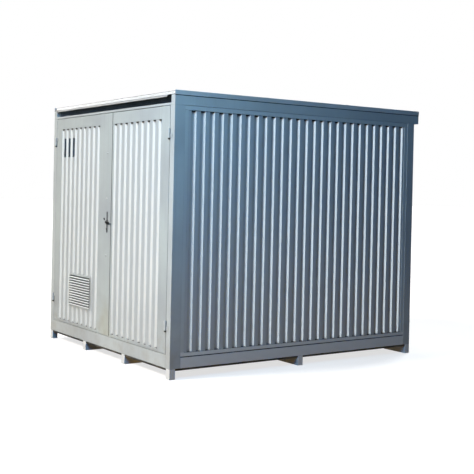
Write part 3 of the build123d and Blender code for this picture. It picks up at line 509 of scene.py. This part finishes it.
def add_sweep(bm, path, sizes, sides=14, power=2.4):
    """A closed bar along path with a squircle section; sizes are (half width, half depth) at each point."""
    rings = []
    for i, point in enumerate(path):
        ahead = path[min(i + 1, len(path) - 1)] - path[max(i - 1, 0)]
        ahead.normalize()
        side = Vector((0, 1, 0)).cross(ahead).normalized()
        depth = ahead.cross(side)
        ring = []
        for k in range(sides):
            a = 2 * math.pi * k / sides
            c, s = math.cos(a), math.sin(a)
            u = math.copysign(abs(c) ** (2 / power), c) * sizes[i][0]
            v = math.copysign(abs(s) ** (2 / power), s) * sizes[i][1]
            ring.append(bm.verts.new(point + side * u + depth * v))
        rings.append(ring)
    add_skin(bm, rings)


# ---- profiled sheets -------------------------------------------------------
BEND = 0.0028
BEND_STEPS = 4
SHEET_T = 0.0012
SHEET_SINK = 0.0004


def sheet_line(node, along, outward):
    """The outer line of a profiled sheet at its foot, read off the CAD: (distance along, place) pairs."""
    across = 1 - along
    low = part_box(node)[0].z
    found = {}
    for vert in NODES[node].data.vertices:
        if vert.co.z < low + 1e-4:
            s, d = round(vert.co[along], 5), vert.co[across] * outward
            found[s] = max(found.get(s, -9.0), d)
    return [Vector((s, found[s] * outward)) for s in sorted(found)]


def bent(line):
    """The same line with its bends rounded."""
    out = [line[0]]
    for before, corner, after in zip(line, line[1:], line[2:]):
        a, b = before - corner, after - corner
        cut = min(BEND, a.length * 0.45, b.length * 0.45)
        start, end = corner + a.normalized() * cut, corner + b.normalized() * cut
        for i in range(BEND_STEPS + 1):
            t = i / BEND_STEPS
            out.append(start * (1 - t) ** 2 + corner * 2 * t * (1 - t) + end * t ** 2)
    out.append(line[-1])
    return out


def wobble(s, z, amount):
    """Slow waves of a long thin sheet, as a distance."""
    waves = ((2.1, 1.3, 0.0, 0.5), (5.3, -2.2, 1.0, 0.3), (3.7, 11.0, 0.0, 0.2))
    return amount * sum(math.sin(a * s + b * z + c) * share for a, b, c, share in waves)


def sheet_mesh(node, along, outward, rows=18, waves=0.0003):
    """A closed thin sheet with round bends and slow waves, standing where the CAD's stands."""
    across = 1 - along
    line = bent(sheet_line(node, along, outward))
    lo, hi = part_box(node)
    bm = bmesh.new()
    grids = []
    for side in (0, 1):
        grid = []
        for r in range(rows + 1):
            z = lo.z + (hi.z - lo.z) * r / rows
            row = []
            for i, point in enumerate(line):
                ahead = line[min(i + 1, len(line) - 1)] - line[max(i - 1, 0)]
                normal = Vector((-ahead.y, ahead.x)).normalized()
                if normal.y * outward < 0:
                    normal = -normal
                fade = math.sin(math.pi * r / rows)
                inward = side * SHEET_T + SHEET_SINK + abs(wobble(point.x, z, waves)) * fade
                spot = point - normal * inward
                co = [0.0, 0.0, z]
                co[along], co[across] = spot.x, spot.y
                row.append(bm.verts.new(co))
            grid.append(row)
        grids.append(grid)
    last = len(line) - 1
    for grid in grids:
        for r in range(rows):
            for i in range(last):
                bm.faces.new((grid[r][i], grid[r][i + 1], grid[r + 1][i + 1], grid[r + 1][i]))
    front, back = grids
    for r in (0, rows):
        for i in range(last):
            bm.faces.new((front[r][i], front[r][i + 1], back[r][i + 1], back[r][i]))
    for i in (0, last):
        for r in range(rows):
            bm.faces.new((front[r][i], front[r + 1][i], back[r + 1][i], back[r][i]))
    return bm


def cut_boxes(obj, boxes):
    """Cuts boxes out of a piece and keeps the result as its mesh."""
    bm = bmesh.new()
    for lo, hi in boxes:
        add_box(bm, lo, hi)
    mesh = bpy.data.meshes.new("cutter")
    bm.to_mesh(mesh)
    bm.free()
    cutter = bpy.data.objects.new("cutter", mesh)
    scene.collection.objects.link(cutter)
    modifier = obj.modifiers.new("cut", "BOOLEAN")
    modifier.object, modifier.operation, modifier.solver = cutter, "DIFFERENCE", "EXACT"
    obj.modifiers.move(len(obj.modifiers) - 1, 0)
    for other in obj.modifiers:
        other.show_viewport = other.name == "cut"
    bpy.context.view_layer.update()
    graph = bpy.context.evaluated_depsgraph_get()
    result = bpy.data.meshes.new_from_object(obj.evaluated_get(graph), depsgraph=graph)
    obj.modifiers.remove(modifier)
    for other in obj.modifiers:
        other.show_viewport = True
    obj.data = result
    result.polygons.foreach_set("use_smooth", [True] * len(result.polygons))
    result.set_sharp_from_angle(angle=math.radians(40))
    bpy.data.objects.remove(cutter)


SIDES = {"right_wall_sheet": (1, 1), "left_wall_sheet": (1, -1), "rear_wall_sheet": (0, 1)}
for node, (along, outward) in SIDES.items():
    piece(node + "_bent", sheet_mesh(node, along, outward), "enclosure", "sheet_paint", [node], 60, False)

# Holes through the left leaf's sheet are (box, inset in x, inset in z).
LOUVRE_WALL = 0.0135
THROUGH = 0.02
screens = islands("insect_screens")
louvre_screen = max(screens, key=lambda b: b[1].x - b[0].x)
holes = [(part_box("louvre_frame"), LOUVRE_WALL, LOUVRE_WALL)]
holes += [(box, 0.001, 0.008) for box in screens if box is not louvre_screen]
for side in ("left", "right"):
    node = side + "_door_sheet"
    bm = sheet_mesh(node, 0, -1, waves=0.0002)
    leaf = piece(node + "_bent", bm, BODY_OF[node], "sheet_paint", [node], 60, False)
    if side == "left":
        cut_boxes(leaf, [((lo.x + dx, lo.y - THROUGH, lo.z + dz), (hi.x - dx, hi.y + THROUGH, hi.z - dz))
                         for (lo, hi), dx, dz in holes])

# ---- steel frame, floor and roof -------------------------------------------
for node, width in {
    "corner_posts": 0.0028, "base_frame": 0.0025, "front_sill": 0.0025, "roof_frame": 0.0022, "wall_trim": 0.0012,
    "front_header": 0.0015, "feet": 0.003, "left_door_frame": 0.0018, "right_door_frame": 0.0018,
    "roof_sheet": 0.0008, "front_flashing": 0.0006, "door_stops": 0.001, "louvre_frame": 0.0007,
    "louvre_blades": 0.0005, "wall_girts": 0.002, "sump_pan": 0.001, "floor_plate": 0.001, "gland_plates": 0.0008,
    "door_seals": 0.0006, "lock_case": 0.002, "lock_rod_guides": 0.0012, "keeper_and_bolt_guides": 0.0012,
    "hinge_post_halves": 0.001, "left_door_hinges": 0.001, "right_door_hinges": 0.001, "cabinet_hinges": 0.0008,
    "upper_lock_rod": 0.0012, "lower_lock_rod": 0.0012, "lock_bolt": 0.0015, "top_shoot_bolt": 0.001,
    "bottom_shoot_bolt": 0.001, "transformer_base": 0.003, "transformer_tank": 0.004, "cooling_fins": 0.0035,
    "tank_cover": 0.003, "hv_cabinet": 0.0009, "lv_cabinet": 0.0009, "hv_cabinet_door": 0.0009,
    "lv_cabinet_door": 0.0009, "hv_switch": 0.006, "lv_breakers": 0.004, "hv_switch_lever": 0.003,
    "breaker_toggle": 0.002, "lv_busbars": 0.0012, "iron_core": 0.003, "windings": 0.004, "tap_knob": 0.002,
}.items():
    soften(node, width)
for node in ("hv_bushings", "lv_bushings", "hv_bus_rods"):
    for held in NODES[node].material_slots:
        held.material = MAT[SLOT_OF[node]]
    if not NODES[node].material_slots:
        NODES[node].data.materials.append(MAT[SLOT_OF[node]])


# ---- wire meshes -----------------------------------------------------------
def wire_mesh(name, node, boxes, pitch, r):
    """Welded wire mesh in place of the CAD's thin plates, an upright layer against a level one."""
    bm = bmesh.new()
    for lo, hi in boxes:
        y = (lo.y + hi.y) / 2
        for axis, shift in ((0, -0.8 * r), (2, 0.8 * r)):
            other = 2 - axis
            count = max(2, round((hi[axis] - lo[axis]) / pitch))
            for i in range(count + 1):
                at = lo[axis] + r + (hi[axis] - lo[axis] - 2 * r) * i / count
                start, end = Vector((0, y + shift, 0)), Vector((0, y + shift, 0))
                start[axis] = end[axis] = at
                start[other], end[other] = lo[other], hi[other]
                add_rod(bm, start, end, r)
    return piece(name, bm, BODY_OF[node], SLOT_OF[node], [node], weighted=False)


wire_mesh("vent_wire_mesh", "vent_mesh", islands("vent_mesh"), 0.0115, 0.0009)
wire_mesh("insect_wire_mesh", "insect_screens", screens, 0.0036, 0.00045)

# ---- lock furniture --------------------------------------------------------
# Turned outlines are (radius, height) points.
PLATE_Y = DOOR_Y - 0.004
KNOB = [(0, 0), (0.0124, 0), (0.0128, 0.0035), (0.0118, 0.0055), (0.0116, 0.012), (0.0122, 0.0145),
        (0.0108, 0.017), (0.0066, 0.018), (0, 0.018)]
ARM = [(0.0, 0.0), (0.016, 0.0004), (0.034, 0.001), (0.051, 0.0004), (0.0605, -0.002), (0.067, -0.0075),
       (0.0695, -0.015), (0.069, -0.0236)]
ARM_SIZES = [(0.0112, 0.0042), (0.0104, 0.0042), (0.0094, 0.0042), (0.0088, 0.0042), (0.0086, 0.0041),
             (0.0082, 0.004), (0.0076, 0.0038), (0.0062, 0.0032)]
BARREL = [(0, -0.001), (0.009, -0.001), (0.009, 0.0035), (0.0084, 0.0047), (0.0072, 0.005), (0.0068, 0.0042),
          (0, 0.0042)]
ROSE = [(0.0135, -0.001), (0.0205, -0.001), (0.0207, 0.0015), (0.0192, 0.0038), (0.0155, 0.0046),
        (0.0135, 0.0042), (0.0135, -0.001)]
ROSETTE = [(0, 0), (0.012, 0), (0.012, 0.002), (0.0105, 0.0034), (0.0085, 0.0036), (0.0075, 0.0018),
           (0.006, 0.0018), (0.0052, 0.003), (0, 0.003)]

lo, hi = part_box("door_lever")
hub = Vector((lo.x + 0.012, PLATE_Y, hi.z - 0.012))
bm = bmesh.new()
add_turned(bm, KNOB, (hub.x, hub.y - 0.0004, hub.z), FRONT, 28)
add_box(bm, (hub.x - 0.004, DOOR_Y - 0.006, hub.z - 0.004), (hub.x + 0.004, hi.y, hub.z + 0.004))
add_sweep(bm, [Vector((hub.x + x, lo.y + 0.004, hub.z + z)) for x, z in ARM], ARM_SIZES)
piece("door_lever_cast", bm, "door_lever", "black_paint", ["door_lever"])

# The escutcheon: a waisted plate with two screws, a keyed barrel and a hole for the spindle.
lo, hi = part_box("escutcheon_plate")
mid_x, mid_z, key_z = (lo.x + hi.x) / 2, (lo.z + hi.z) / 2, lo.z + 0.034
half_w, half_h, corner_r = (hi.x - lo.x) / 2, (hi.z - lo.z) / 2, 0.006
outline = []
for sx, sz, start in ((1, 1, 0), (-1, 1, 90), (-1, -1, 180), (1, -1, 270)):
    for i in range(7):
        a = math.radians(start + 15 * i)
        z = sz * (half_h - corner_r) + corner_r * math.sin(a)
        x = (sx * (half_w - corner_r) + corner_r * math.cos(a)) * (1 - 0.3 * abs(z) / half_h)
        outline.append((x, z))
bm = bmesh.new()
add_skin(bm, [[bm.verts.new((mid_x + x * shrink, y, mid_z + z * (1 - (1 - shrink) * 0.1))) for x, z in outline]
              for y, shrink in ((DOOR_Y, 1.0), (DOOR_Y - 0.003, 1.0), (PLATE_Y, 0.93))])
for z in (lo.z + 0.012, hi.z - 0.012):
    add_turned(bm, pan_head(0.0038, 0.0022), (mid_x, PLATE_Y, z), FRONT, 18)
add_turned(bm, BARREL, (mid_x, PLATE_Y, key_z), FRONT, 28)
plate = piece("escutcheon_cast", bm, "left_door", "black_paint", ["escutcheon_plate"])
cut_boxes(plate, [
    ((mid_x - 0.0011, DOOR_Y - 0.012, key_z - 0.0045), (mid_x + 0.0011, DOOR_Y - 0.0055, key_z + 0.0045)),
    ((hub.x - 0.0052, DOOR_Y - 0.006, hub.z - 0.0052), (hub.x + 0.0052, DOOR_Y + 0.001, hub.z + 0.0052))])

# The rose that the lever turns in, and the blanking rosette beside it.
bm = bmesh.new()
add_turned(bm, ROSE, hub, FRONT, 32)
piece("lever_rose", bm, "left_door", "black_paint")
bm = bmesh.new()
add_turned(bm, ROSETTE, (hub.x - 0.06, DOOR_Y, hub.z + 0.029), FRONT, 28)
piece("stile_rosette", bm, "left_door", "black_paint")

bm = bmesh.new()
for lo, hi in islands("stile_bolts"):
    r = (hi.x - lo.x) / 2
    dome = [(0, 0), (r, 0), (r * 0.97, 0.0016), (r * 0.84, 0.0033), (r * 0.6, 0.0044), (r * 0.3, 0.0049), (0, 0.005)]
    add_turned(bm, dome, ((lo.x + hi.x) / 2, hi.y, (lo.z + hi.z) / 2), FRONT, 24)
piece("stile_bolt_domes", bm, "left_door", "zinc_steel", ["stile_bolts"])

# The black lip seal along the meeting edge of the first leaf.
lo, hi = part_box("left_door_frame")
bm = bmesh.new()
add_box(bm, (hi.x - 0.0028, lo.y - 0.0008, lo.z + 0.004), (hi.x + 0.0012, lo.y + 0.006, hi.z - 0.004))
round_edges(bm, 0.0006)
piece("meeting_lip_seal", bm, "left_door", "seal_rubber")


# ---- groove-end plugs, painted shadow --------------------------------------
def fillers(name, node, along, outward, body, tops, feet):
    """Black plugs that close the ends of a sheet's grooves: painted shadow where the band above shades each end."""
    line = sheet_line(node, along, outward)
    lo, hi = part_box(node)
    crest = max(p.y * outward for p in line)
    bm = bmesh.new()
    for a, b, c, d in zip(line, line[1:], line[2:], line[3:]):
        grooved = max(b.y * outward, c.y * outward) < crest - 0.005
        if grooved and min(a.y * outward, d.y * outward + 0.001) > crest - 0.001:
            section = [(a.x + 0.0025, a.y - outward * 0.0035), (b.x + 0.0008, b.y + outward * 0.0006),
                       (c.x - 0.0008, c.y + outward * 0.0006), (d.x - 0.0025, d.y - outward * 0.0035)]
            for ends in ((hi.z - tops, hi.z - 0.0005), (lo.z + 0.0005, lo.z + feet)):
                add_skin(bm, [[bm.verts.new((s, depth, z) if along == 0 else (depth, s, z)) for s, depth in section]
                              for z in ends])
    round_edges(bm, 0.001)
    return piece(name, bm, body, "seal_rubber")


for node, (along, outward) in SIDES.items():
    fillers(node.replace("sheet", "fillers"), node, along, outward, "enclosure", TRIM_COVER + 0.012, TRIM_COVER + 0.003)
for side in ("left", "right"):
    fillers(side + "_door_fillers", side + "_door_sheet", 0, -1, side + "_door", 0.012, 0.002)

# ---- joint sealing round the wall sheets -----------------------------------
# A wall's trim is one frame: (low corner, high corner, axis along, axis through, outward sign, outer face).
trim_frames = []
for lo, hi in islands("wall_trim"):
    size = hi - lo
    along, thin = max(range(3), key=lambda k: size[k]), min(range(3), key=lambda k: size[k])
    out = 1 if lo[thin] + hi[thin] > 0 else -1
    trim_frames.append((lo, hi, along, thin, out, hi[thin] if out > 0 else lo[thin]))

# One strip along the foot of each frame, and one on the sheet over its top.
bm = bmesh.new()
for lo, hi, along, thin, out, face in trim_frames:
    for foot, height, proud in ((lo.z, 0.0085, 0.0008), (hi.z, 0.011, -0.0042)):
        a, b = lo.copy(), hi.copy()
        a.z, b.z = foot, foot + height
        a[thin], b[thin] = sorted((face + out * (proud - 0.0035), face + out * proud))
        add_box(bm, a, b)
skirt_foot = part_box("roof_sheet")[0].z
lo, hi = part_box("roof_frame")
for x0, x1 in ((lo.x - 0.0009, lo.x + 0.003), (hi.x - 0.003, hi.x + 0.0009)):
    add_box(bm, (x0, lo.y + 0.002, skirt_foot - 0.007), (x1, hi.y - 0.002, skirt_foot + 0.001))
round_edges(bm, 0.0004)
piece("wall_joint_seals", bm, "enclosure", "seal_rubber")


# ---- fixings ---------------------------------------------------------------
def fixings(name, spots, body, slot, r=0.0032, h=0.0013, sides=12):
    """Domed rivet or screw heads; spots are (place, outward axis) pairs."""
    bm = bmesh.new()
    for place, axis in spots:
        add_turned(bm, pan_head(r, h), place, axis, sides)
    return piece(name, bm, body, slot, weighted=False)


def spread(low, high, step, inset=0.0):
    """Evenly spaced values from low to high, about step apart."""
    count = max(1, round((high - low - 2 * inset) / step))
    return [low + inset + (high - low - 2 * inset) * i / count for i in range(count + 1)]


spots = []
for lo, hi, along, thin, out, face in trim_frames:
    axis = Vector((0, 0, 0))
    axis[thin] = out
    for s in spread(lo[along], hi[along], 0.3, 0.05):
        place = (lo + hi) / 2
        place[along], place[thin] = s, face
        spots.append((place, axis))
fixings("wall_trim_rivets", spots, "enclosure", "frame_paint")

for side in ("left", "right"):
    lo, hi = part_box(side + "_door_sheet")
    line = sheet_line(side + "_door_sheet", 0, -1)
    crest = min(p.y for p in line)
    flats = [(a, b) for a, b in zip(line, line[1:]) if abs(a.y - b.y) < 1e-4 and b.x - a.x > 0.03]
    middles = [(a.x + b.x) / 2 for a, b in flats if abs(a.y - crest) < 1e-3]
    spots = [((x, crest + 0.0006, z), FRONT) for x in middles for z in (lo.z + 0.014, hi.z - 0.014)]
    fixings(side + "_door_rivets", spots, side + "_door", "sheet_paint", 0.003, 0.0014)

RIM = 0.007
lo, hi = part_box("louvre_frame")
spots = []
for x in spread(lo.x, hi.x, 0.15, RIM):
    spots += [((x, lo.y, z), FRONT) for z in (lo.z + RIM, hi.z - RIM)]
for z in spread(lo.z, hi.z, 0.11, RIM)[1:-1]:
    spots += [((x, lo.y, z), FRONT) for x in (lo.x + RIM, hi.x - RIM)]
fixings("louvre_screws", spots, "left_door", "zinc_steel", 0.0033, 0.0018)

# Black strips beside the blade ends: painted shadow where the ends stand in shade.
blade_lo, blade_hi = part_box("louvre_blades")
bm = bmesh.new()
for x0, x1 in ((blade_lo.x - 0.005, blade_lo.x + 0.0005), (blade_hi.x - 0.0005, blade_hi.x + 0.005)):
    add_box(bm, (x0, lo.y - 0.0016, blade_lo.z - 0.002), (x1, lo.y + 0.0006, blade_hi.z))
round_edges(bm, 0.0005)
piece("louvre_side_shade_strips", bm, "left_door", "seal_rubber")

# The domed end of the pin under each hinge.
PIN_END = [(0, -0.001), (0.0098, -0.001), (0.01, 0.006), (0.0082, 0.0105), (0.004, 0.0132), (0, 0.0138)]
PIN_IN = 0.009
bm = bmesh.new()
for lo, hi in islands("hinge_post_halves"):
    x = lo.x + PIN_IN if lo.x > 0 else hi.x - PIN_IN
    add_turned(bm, PIN_END, (x, lo.y + PIN_IN, lo.z), (0, 0, -1), 20)
piece("hinge_pin_ends", bm, "enclosure", "black_paint")


def add_bead(bm, start, end, r, step=0.0035):
    """A weld bead from start to end, its ripples a step apart."""
    start, end = Vector(start), Vector(end)
    length = (end - start).length
    count = max(4, int(length / step))
    outline = [(0, 0)]
    for i in range(count + 1):
        ripple = (1.0 if i % 2 else 0.8) * (0.6 if i in (0, count) else 1.0)
        outline.append((r * ripple, length * i / count))
    add_turned(bm, [*outline, (0, length)], start, end - start, 8)


bm = bmesh.new()
for lo, hi in islands("corner_posts"):
    front_post, right_post = lo.y < 0, lo.x > 0
    x_in, x_out = (lo.x, hi.x - 0.0004) if right_post else (hi.x, lo.x + 0.0004)
    y_in, y_out = (hi.y, lo.y + 0.0004) if front_post else (lo.y, hi.y - 0.0004)
    top = SILL_TOP if front_post else WALL_FOOT
    add_bead(bm, (x_in, y_out, lo.z + 0.004), (x_in, y_out, top - 0.003), 0.0022)
    add_bead(bm, (x_out, y_in, lo.z + 0.004), (x_out, y_in, WALL_FOOT - 0.003), 0.0022)
for lo, hi in islands("feet"):
    if max(abs(hi.x), abs(lo.x)) < 1.0:
        y = lo.y + 0.001 if lo.y < 0 else hi.y - 0.001
        add_bead(bm, (lo.x + 0.004, y, hi.z), (hi.x - 0.004, y, hi.z), 0.003)
piece("frame_weld_beads", bm, "enclosure", "frame_paint", weighted=False)

# ---- roof laps and flashing hems -------------------------------------------
roof_lo, roof_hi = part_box("roof_sheet")
roof_top = [v.co for v in NODES["roof_sheet"].data.vertices if v.co.z > roof_hi.z - 0.012 and abs(v.co.x) > 1.2]
front_top, rear_top = min(roof_top, key=lambda c: c.y), max(roof_top, key=lambda c: (c.y, c.z))
FALL = (rear_top.z - front_top.z) / (rear_top.y - front_top.y)
LAP = [(-0.026, -0.0006), (-0.026, 0.0012), (-0.0235, 0.0014), (0.0235, 0.0014), (0.0275, 0.0003), (0.0275, -0.0006)]
RIVET = pan_head(0.0034, 0.0016)


def roof_z(y):
    return front_top.z + FALL * (y - front_top.y)


bm = bmesh.new()
for y in spread(roof_lo.y, roof_hi.y, 1.0)[1:-1]:
    add_skin(bm, [[bm.verts.new((x, y + dy, roof_z(y + dy) + dz)) for dy, dz in LAP]
                  for x in (roof_lo.x + 0.004, roof_hi.x - 0.004)])
    for x in spread(roof_lo.x, roof_hi.x, 0.12, 0.03):
        for y_at in (y - 0.012, y + 0.012):
            add_turned(bm, RIVET, (x, y_at, roof_z(y_at) + 0.0013), UP, 12)
for x in (roof_lo.x + 0.03, roof_hi.x - 0.03):
    for y in spread(roof_lo.y, roof_hi.y, 0.3, 0.06):
        add_turned(bm, RIVET, (x, y, roof_z(y)), UP, 12)
piece("roof_laps_and_rivets", bm, "enclosure", "roof_paint", weighted=False)

lo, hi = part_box("front_flashing")
corners = [v.co for v in NODES["front_flashing"].data.vertices]
ends = [c for c in corners if abs(c.x) > 1.19]
nose = min((c for c in ends if c.z < 2.5), key=lambda c: c.y)
ridge = max(ends, key=lambda c: (c.z, c.y))
lip = min(corners, key=lambda c: (round(c.z, 4), c.y))
lip_x = [c.x for c in corners if c.z < lo.z + 0.001]
bm = bmesh.new()
for x0, x1, y, z, r in ((lo.x, hi.x, nose.y, nose.z, 0.0022), (lo.x, hi.x, ridge.y - 0.003, ridge.z - 0.0035, 0.0018),
                        (min(lip_x), max(lip_x), lip.y + 0.0006, lip.z + 0.001, 0.0022)):
    add_rod(bm, Vector((x0, y, z)), Vector((x1, y, z)), r, 12)
hems = piece("flashing_hems", bm, "enclosure", "roof_paint", weighted=False)
hems.data.materials[0] = MAT["hem_zinc"]

# ---- transformer detail ----------------------------------------------------
tank_lo, tank_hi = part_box("transformer_tank")
lo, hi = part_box("tank_cover")
COVER_TOP = tank_hi.z + 0.012
COVER_RIM = 0.015
spots = [(x, y) for x in spread(lo.x, hi.x, 0.11, COVER_RIM) for y in (lo.y + COVER_RIM, hi.y - COVER_RIM)]
spots += [(x, y) for y in spread(lo.y, hi.y, 0.11, COVER_RIM)[1:-1] for x in (lo.x + COVER_RIM, hi.x - COVER_RIM)]
bm = bmesh.new()
for i, (x, y) in enumerate(spots):
    add_hex(bm, (x, y, COVER_TOP), UP, 0.0085, 0.008, turn=i * 0.7)
    add_hex(bm, (x, y, tank_hi.z), (0, 0, -1), 0.0085, 0.008, turn=i * 0.4)
piece("cover_bolts", bm, "enclosure", "zinc_steel", weighted=False)

bm = bmesh.new()
(x0, y0), (x1, y1) = tank_lo.xy, tank_hi.xy
for start, end in (((x0, y0), (x1, y0)), ((x0, y1), (x1, y1)), ((x0, y0), (x0, y1)), ((x1, y0), (x1, y1))):
    for z in (tank_lo.z + 0.006, tank_hi.z - 0.004):
        add_bead(bm, (*start, z), (*end, z), 0.004, 0.007)
fins = islands("cooling_fins")
for lo, hi in fins:
    wall = tank_lo.y if lo.y < tank_lo.y else tank_hi.y
    for x in (lo.x, hi.x):
        add_bead(bm, (x, wall, lo.z + 0.004), (x, wall, hi.z - 0.004), 0.0022, 0.012)
fins_lo, fins_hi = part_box("cooling_fins")
for y in (fins_lo.y, fins_hi.y):
    for z in (fins[0][0].z + 0.06, fins[0][1].z - 0.06):
        add_rod(bm, Vector((fins_lo.x, y, z)), Vector((fins_hi.x, y, z)), 0.005, 12)
piece("tank_welds_and_stays", bm, "enclosure", "tank_paint", weighted=False)

bm = bmesh.new()
for node, ring_r in (("hv_bushings", 0.064), ("lv_bushings", 0.049)):
    bolt_r, bore = ring_r - 0.005, ring_r - 0.012
    ring = [(bore, 0), (ring_r, 0), (ring_r, 0.006), (ring_r - 0.002, 0.008), (bore, 0.008), (bore, 0)]
    for lo, hi in islands(node):
        x, y = (lo.x + hi.x) / 2, (lo.y + hi.y) / 2
        add_turned(bm, ring, (x, y, lo.z), UP, 32)
        for k in range(4):
            a = math.radians(45 + 90 * k)
            at = (x + bolt_r * math.cos(a), y + bolt_r * math.sin(a), lo.z + 0.008)
            add_hex(bm, at, UP, 0.0045, 0.005, 1.2, a)
        nut = (hi.z - lo.z) * 0.09
        add_hex(bm, (x, y, hi.z - nut), UP, (hi.x - lo.x) * 0.21, nut * 0.55, 1.25)
piece("bushing_clamps_and_nuts", bm, "enclosure", "zinc_steel", weighted=False)

# ---- cabinet detail --------------------------------------------------------
PLATE_RIM = 0.011
bm = bmesh.new()
for lo, hi in islands("gland_plates"):
    for x in spread(lo.x, hi.x, 0.11, PLATE_RIM):
        for y in (lo.y + PLATE_RIM, hi.y - PLATE_RIM):
            add_hex(bm, (x, y, hi.z), UP, 0.005, 0.005, 1.5, x * 9)
    for y in spread(lo.y, hi.y, 0.14, PLATE_RIM)[1:-1]:
        for x in (lo.x + PLATE_RIM, hi.x - PLATE_RIM):
            add_hex(bm, (x, y, hi.z), UP, 0.005, 0.005, 1.5, y * 9)
piece("gland_plate_bolts", bm, "enclosure", "zinc_steel", weighted=False)

SOCKET = [(0, 0), (0.0045, 0), (0.0045, 0.0035), (0.0026, 0.0035), (0.0026, 0.0031), (0, 0.0031)]
bm = bmesh.new()
for lo, hi in islands("lv_breakers"):
    for y in spread(lo.y, hi.y, (hi.y - lo.y) / 2, (hi.y - lo.y) / 6):
        for z in (lo.z + 0.016, hi.z - 0.016):
            add_turned(bm, pan_head(0.0065, 0.003), (hi.x, y, z), RIGHT, 18)
            add_turned(bm, SOCKET, (hi.x, y, z), RIGHT, 6)
piece("breaker_terminal_screws", bm, "enclosure", "zinc_steel", weighted=False)

# Two groups of half-round louvre hoods pressed out of each cabinet door.
DOOR_FACE, HOOD_PITCH, HOOD_HALF, HOOD_DEPTH = 0.0185, 0.024, 0.007, 0.006
HOOD_ARC = [math.radians(36 * k) for k in range(6)]
for side, out in (("hv", -1), ("lv", 1)):
    lo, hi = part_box(side + "_cabinet_door")
    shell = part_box(side + "_cabinet")
    face = shell[0].x - DOOR_FACE if out < 0 else shell[1].x + DOOR_FACE
    y0, y1 = lo.y + 0.16, lo.y + 0.46
    bm = bmesh.new()
    for foot in (lo.z + 0.1, hi.z - 0.24):
        for z in (foot + i * HOOD_PITCH for i in range(6)):
            rings = []
            for y, depth in ((y0, 0.0005), (y0 + 0.008, HOOD_DEPTH), (y1 - 0.008, HOOD_DEPTH), (y1, 0.0005)):
                arc = [(depth * math.sin(a) - 0.0008, HOOD_HALF * math.cos(a)) for a in HOOD_ARC]
                rings.append([bm.verts.new((face + out * proud, y, z + rise)) for proud, rise in arc])
            add_skin(bm, rings)
    piece(side + "_door_vent_hoods", bm, side + "_cabinet_door", "cabinet_paint", weighted=False)

# ---- floor, sky and lights -------------------------------------------------
bm = bmesh.new()
bmesh.ops.create_grid(bm, x_segments=1, y_segments=1, size=90)
mesh = bpy.data.meshes.new("studio_floor")
bm.to_mesh(mesh)
bm.free()
floor = bpy.data.objects.new("studio_floor", mesh)
scene.collection.objects.link(floor)
pale_floor = Shader("studio_floor")
glow = pale_floor.mix(pale_floor.noise(0.6, 3), (0.97, 0.97, 0.97), (1.0, 1.0, 1.0))
mesh.materials.append(pale_floor.finish((0.4, 0.4, 0.4, 1), 0.9, Specular_IOR_Level=0.0, Emission_Color=glow,
                                        Emission_Strength=0.72))
floor.visible_diffuse = floor.visible_glossy = floor.visible_shadow = False

world = bpy.data.worlds.new("studio")
scene.world = world
world.use_nodes = True
tree = world.node_tree
tree.nodes.clear()
out = tree.nodes.new("ShaderNodeOutputWorld")
blend = tree.nodes.new("ShaderNodeMixShader")
path = tree.nodes.new("ShaderNodeLightPath")
dim, pale = (tree.nodes.new("ShaderNodeBackground") for _ in range(2))
dim.inputs[0].default_value = (0.012, 0.014, 0.017, 1)
pale.inputs[0].default_value = (1, 1, 1, 1)
tree.links.new(path.outputs["Is Camera Ray"], blend.inputs[0])
tree.links.new(dim.outputs[0], blend.inputs[1])
tree.links.new(pale.outputs[0], blend.inputs[2])
tree.links.new(blend.outputs[0], out.inputs[0])


def add_light(name, kind, toward, power, color, diffuse, glossy):
    light = bpy.data.lights.new(name, kind)
    light.energy, light.color = power, color
    obj = bpy.data.objects.new(name, light)
    obj.rotation_euler = toward.to_track_quat("Z", "Y").to_euler()
    obj.visible_diffuse, obj.visible_glossy, obj.visible_camera = diffuse, glossy, False
    scene.collection.objects.link(obj)
    return obj


def sun(name, azimuth, elevation, strength, color, angle, diffuse=True, glossy=True):
    """A distant soft light; azimuth 0 is in front of the doors, 90 to their right."""
    a, e = math.radians(azimuth), math.radians(elevation)
    toward = Vector((math.sin(a) * math.cos(e), -math.cos(a) * math.cos(e), math.sin(e)))
    add_light(name, "SUN", toward, strength, color, diffuse, glossy).data.angle = math.radians(angle)


def panel(name, place, target, size, power, color, diffuse=True, glossy=True):
    """A flat soft light at place that faces target."""
    obj = add_light(name, "AREA", Vector(place) - Vector(target), power, color, diffuse, glossy)
    obj.location = place
    obj.data.shape, obj.data.size, obj.data.size_y = "RECTANGLE", *size


sun("key", -12, 42, 3.94, (1.0, 0.908, 0.805), 12)
panel("sky_far", (4.6, -4.6, 4.6), (1.2, -0.8, 1.9), (3, 2), 150, (0.0, 0.285, 1.0))
panel("sky_near", (3.1, -3.2, 4.3), (1.2, -1.0, 1.9), (2, 1.5), 67, (0.679, 1.0, 0.962))
panel("ground", (3.0, -1.6, 0.12), (1.2, -0.7, 0.25), (3, 0.2), 6.4, (1.0, 0.577, 0.1), glossy=False)
panel("ground_rear", (2.6, 0.9, 0.05), (1.2, 0.7, 0.15), (2.4, 0.1), 1.6, (1.0, 0.75, 0.5), glossy=False)
sun("front_sheen", 57, 1, 1.65, (1.0, 0.817, 0.568), 30, diffuse=False)
sun("side_sheen", 18, 4, 3.7, (0.846, 0.954, 1.0), 44, diffuse=False)
sun("back", 205, 35, 2.6, (0.95, 0.98, 1.0), 20)
sun("left", 275, 25, 1.5, (0.95, 0.98, 1.0), 20)
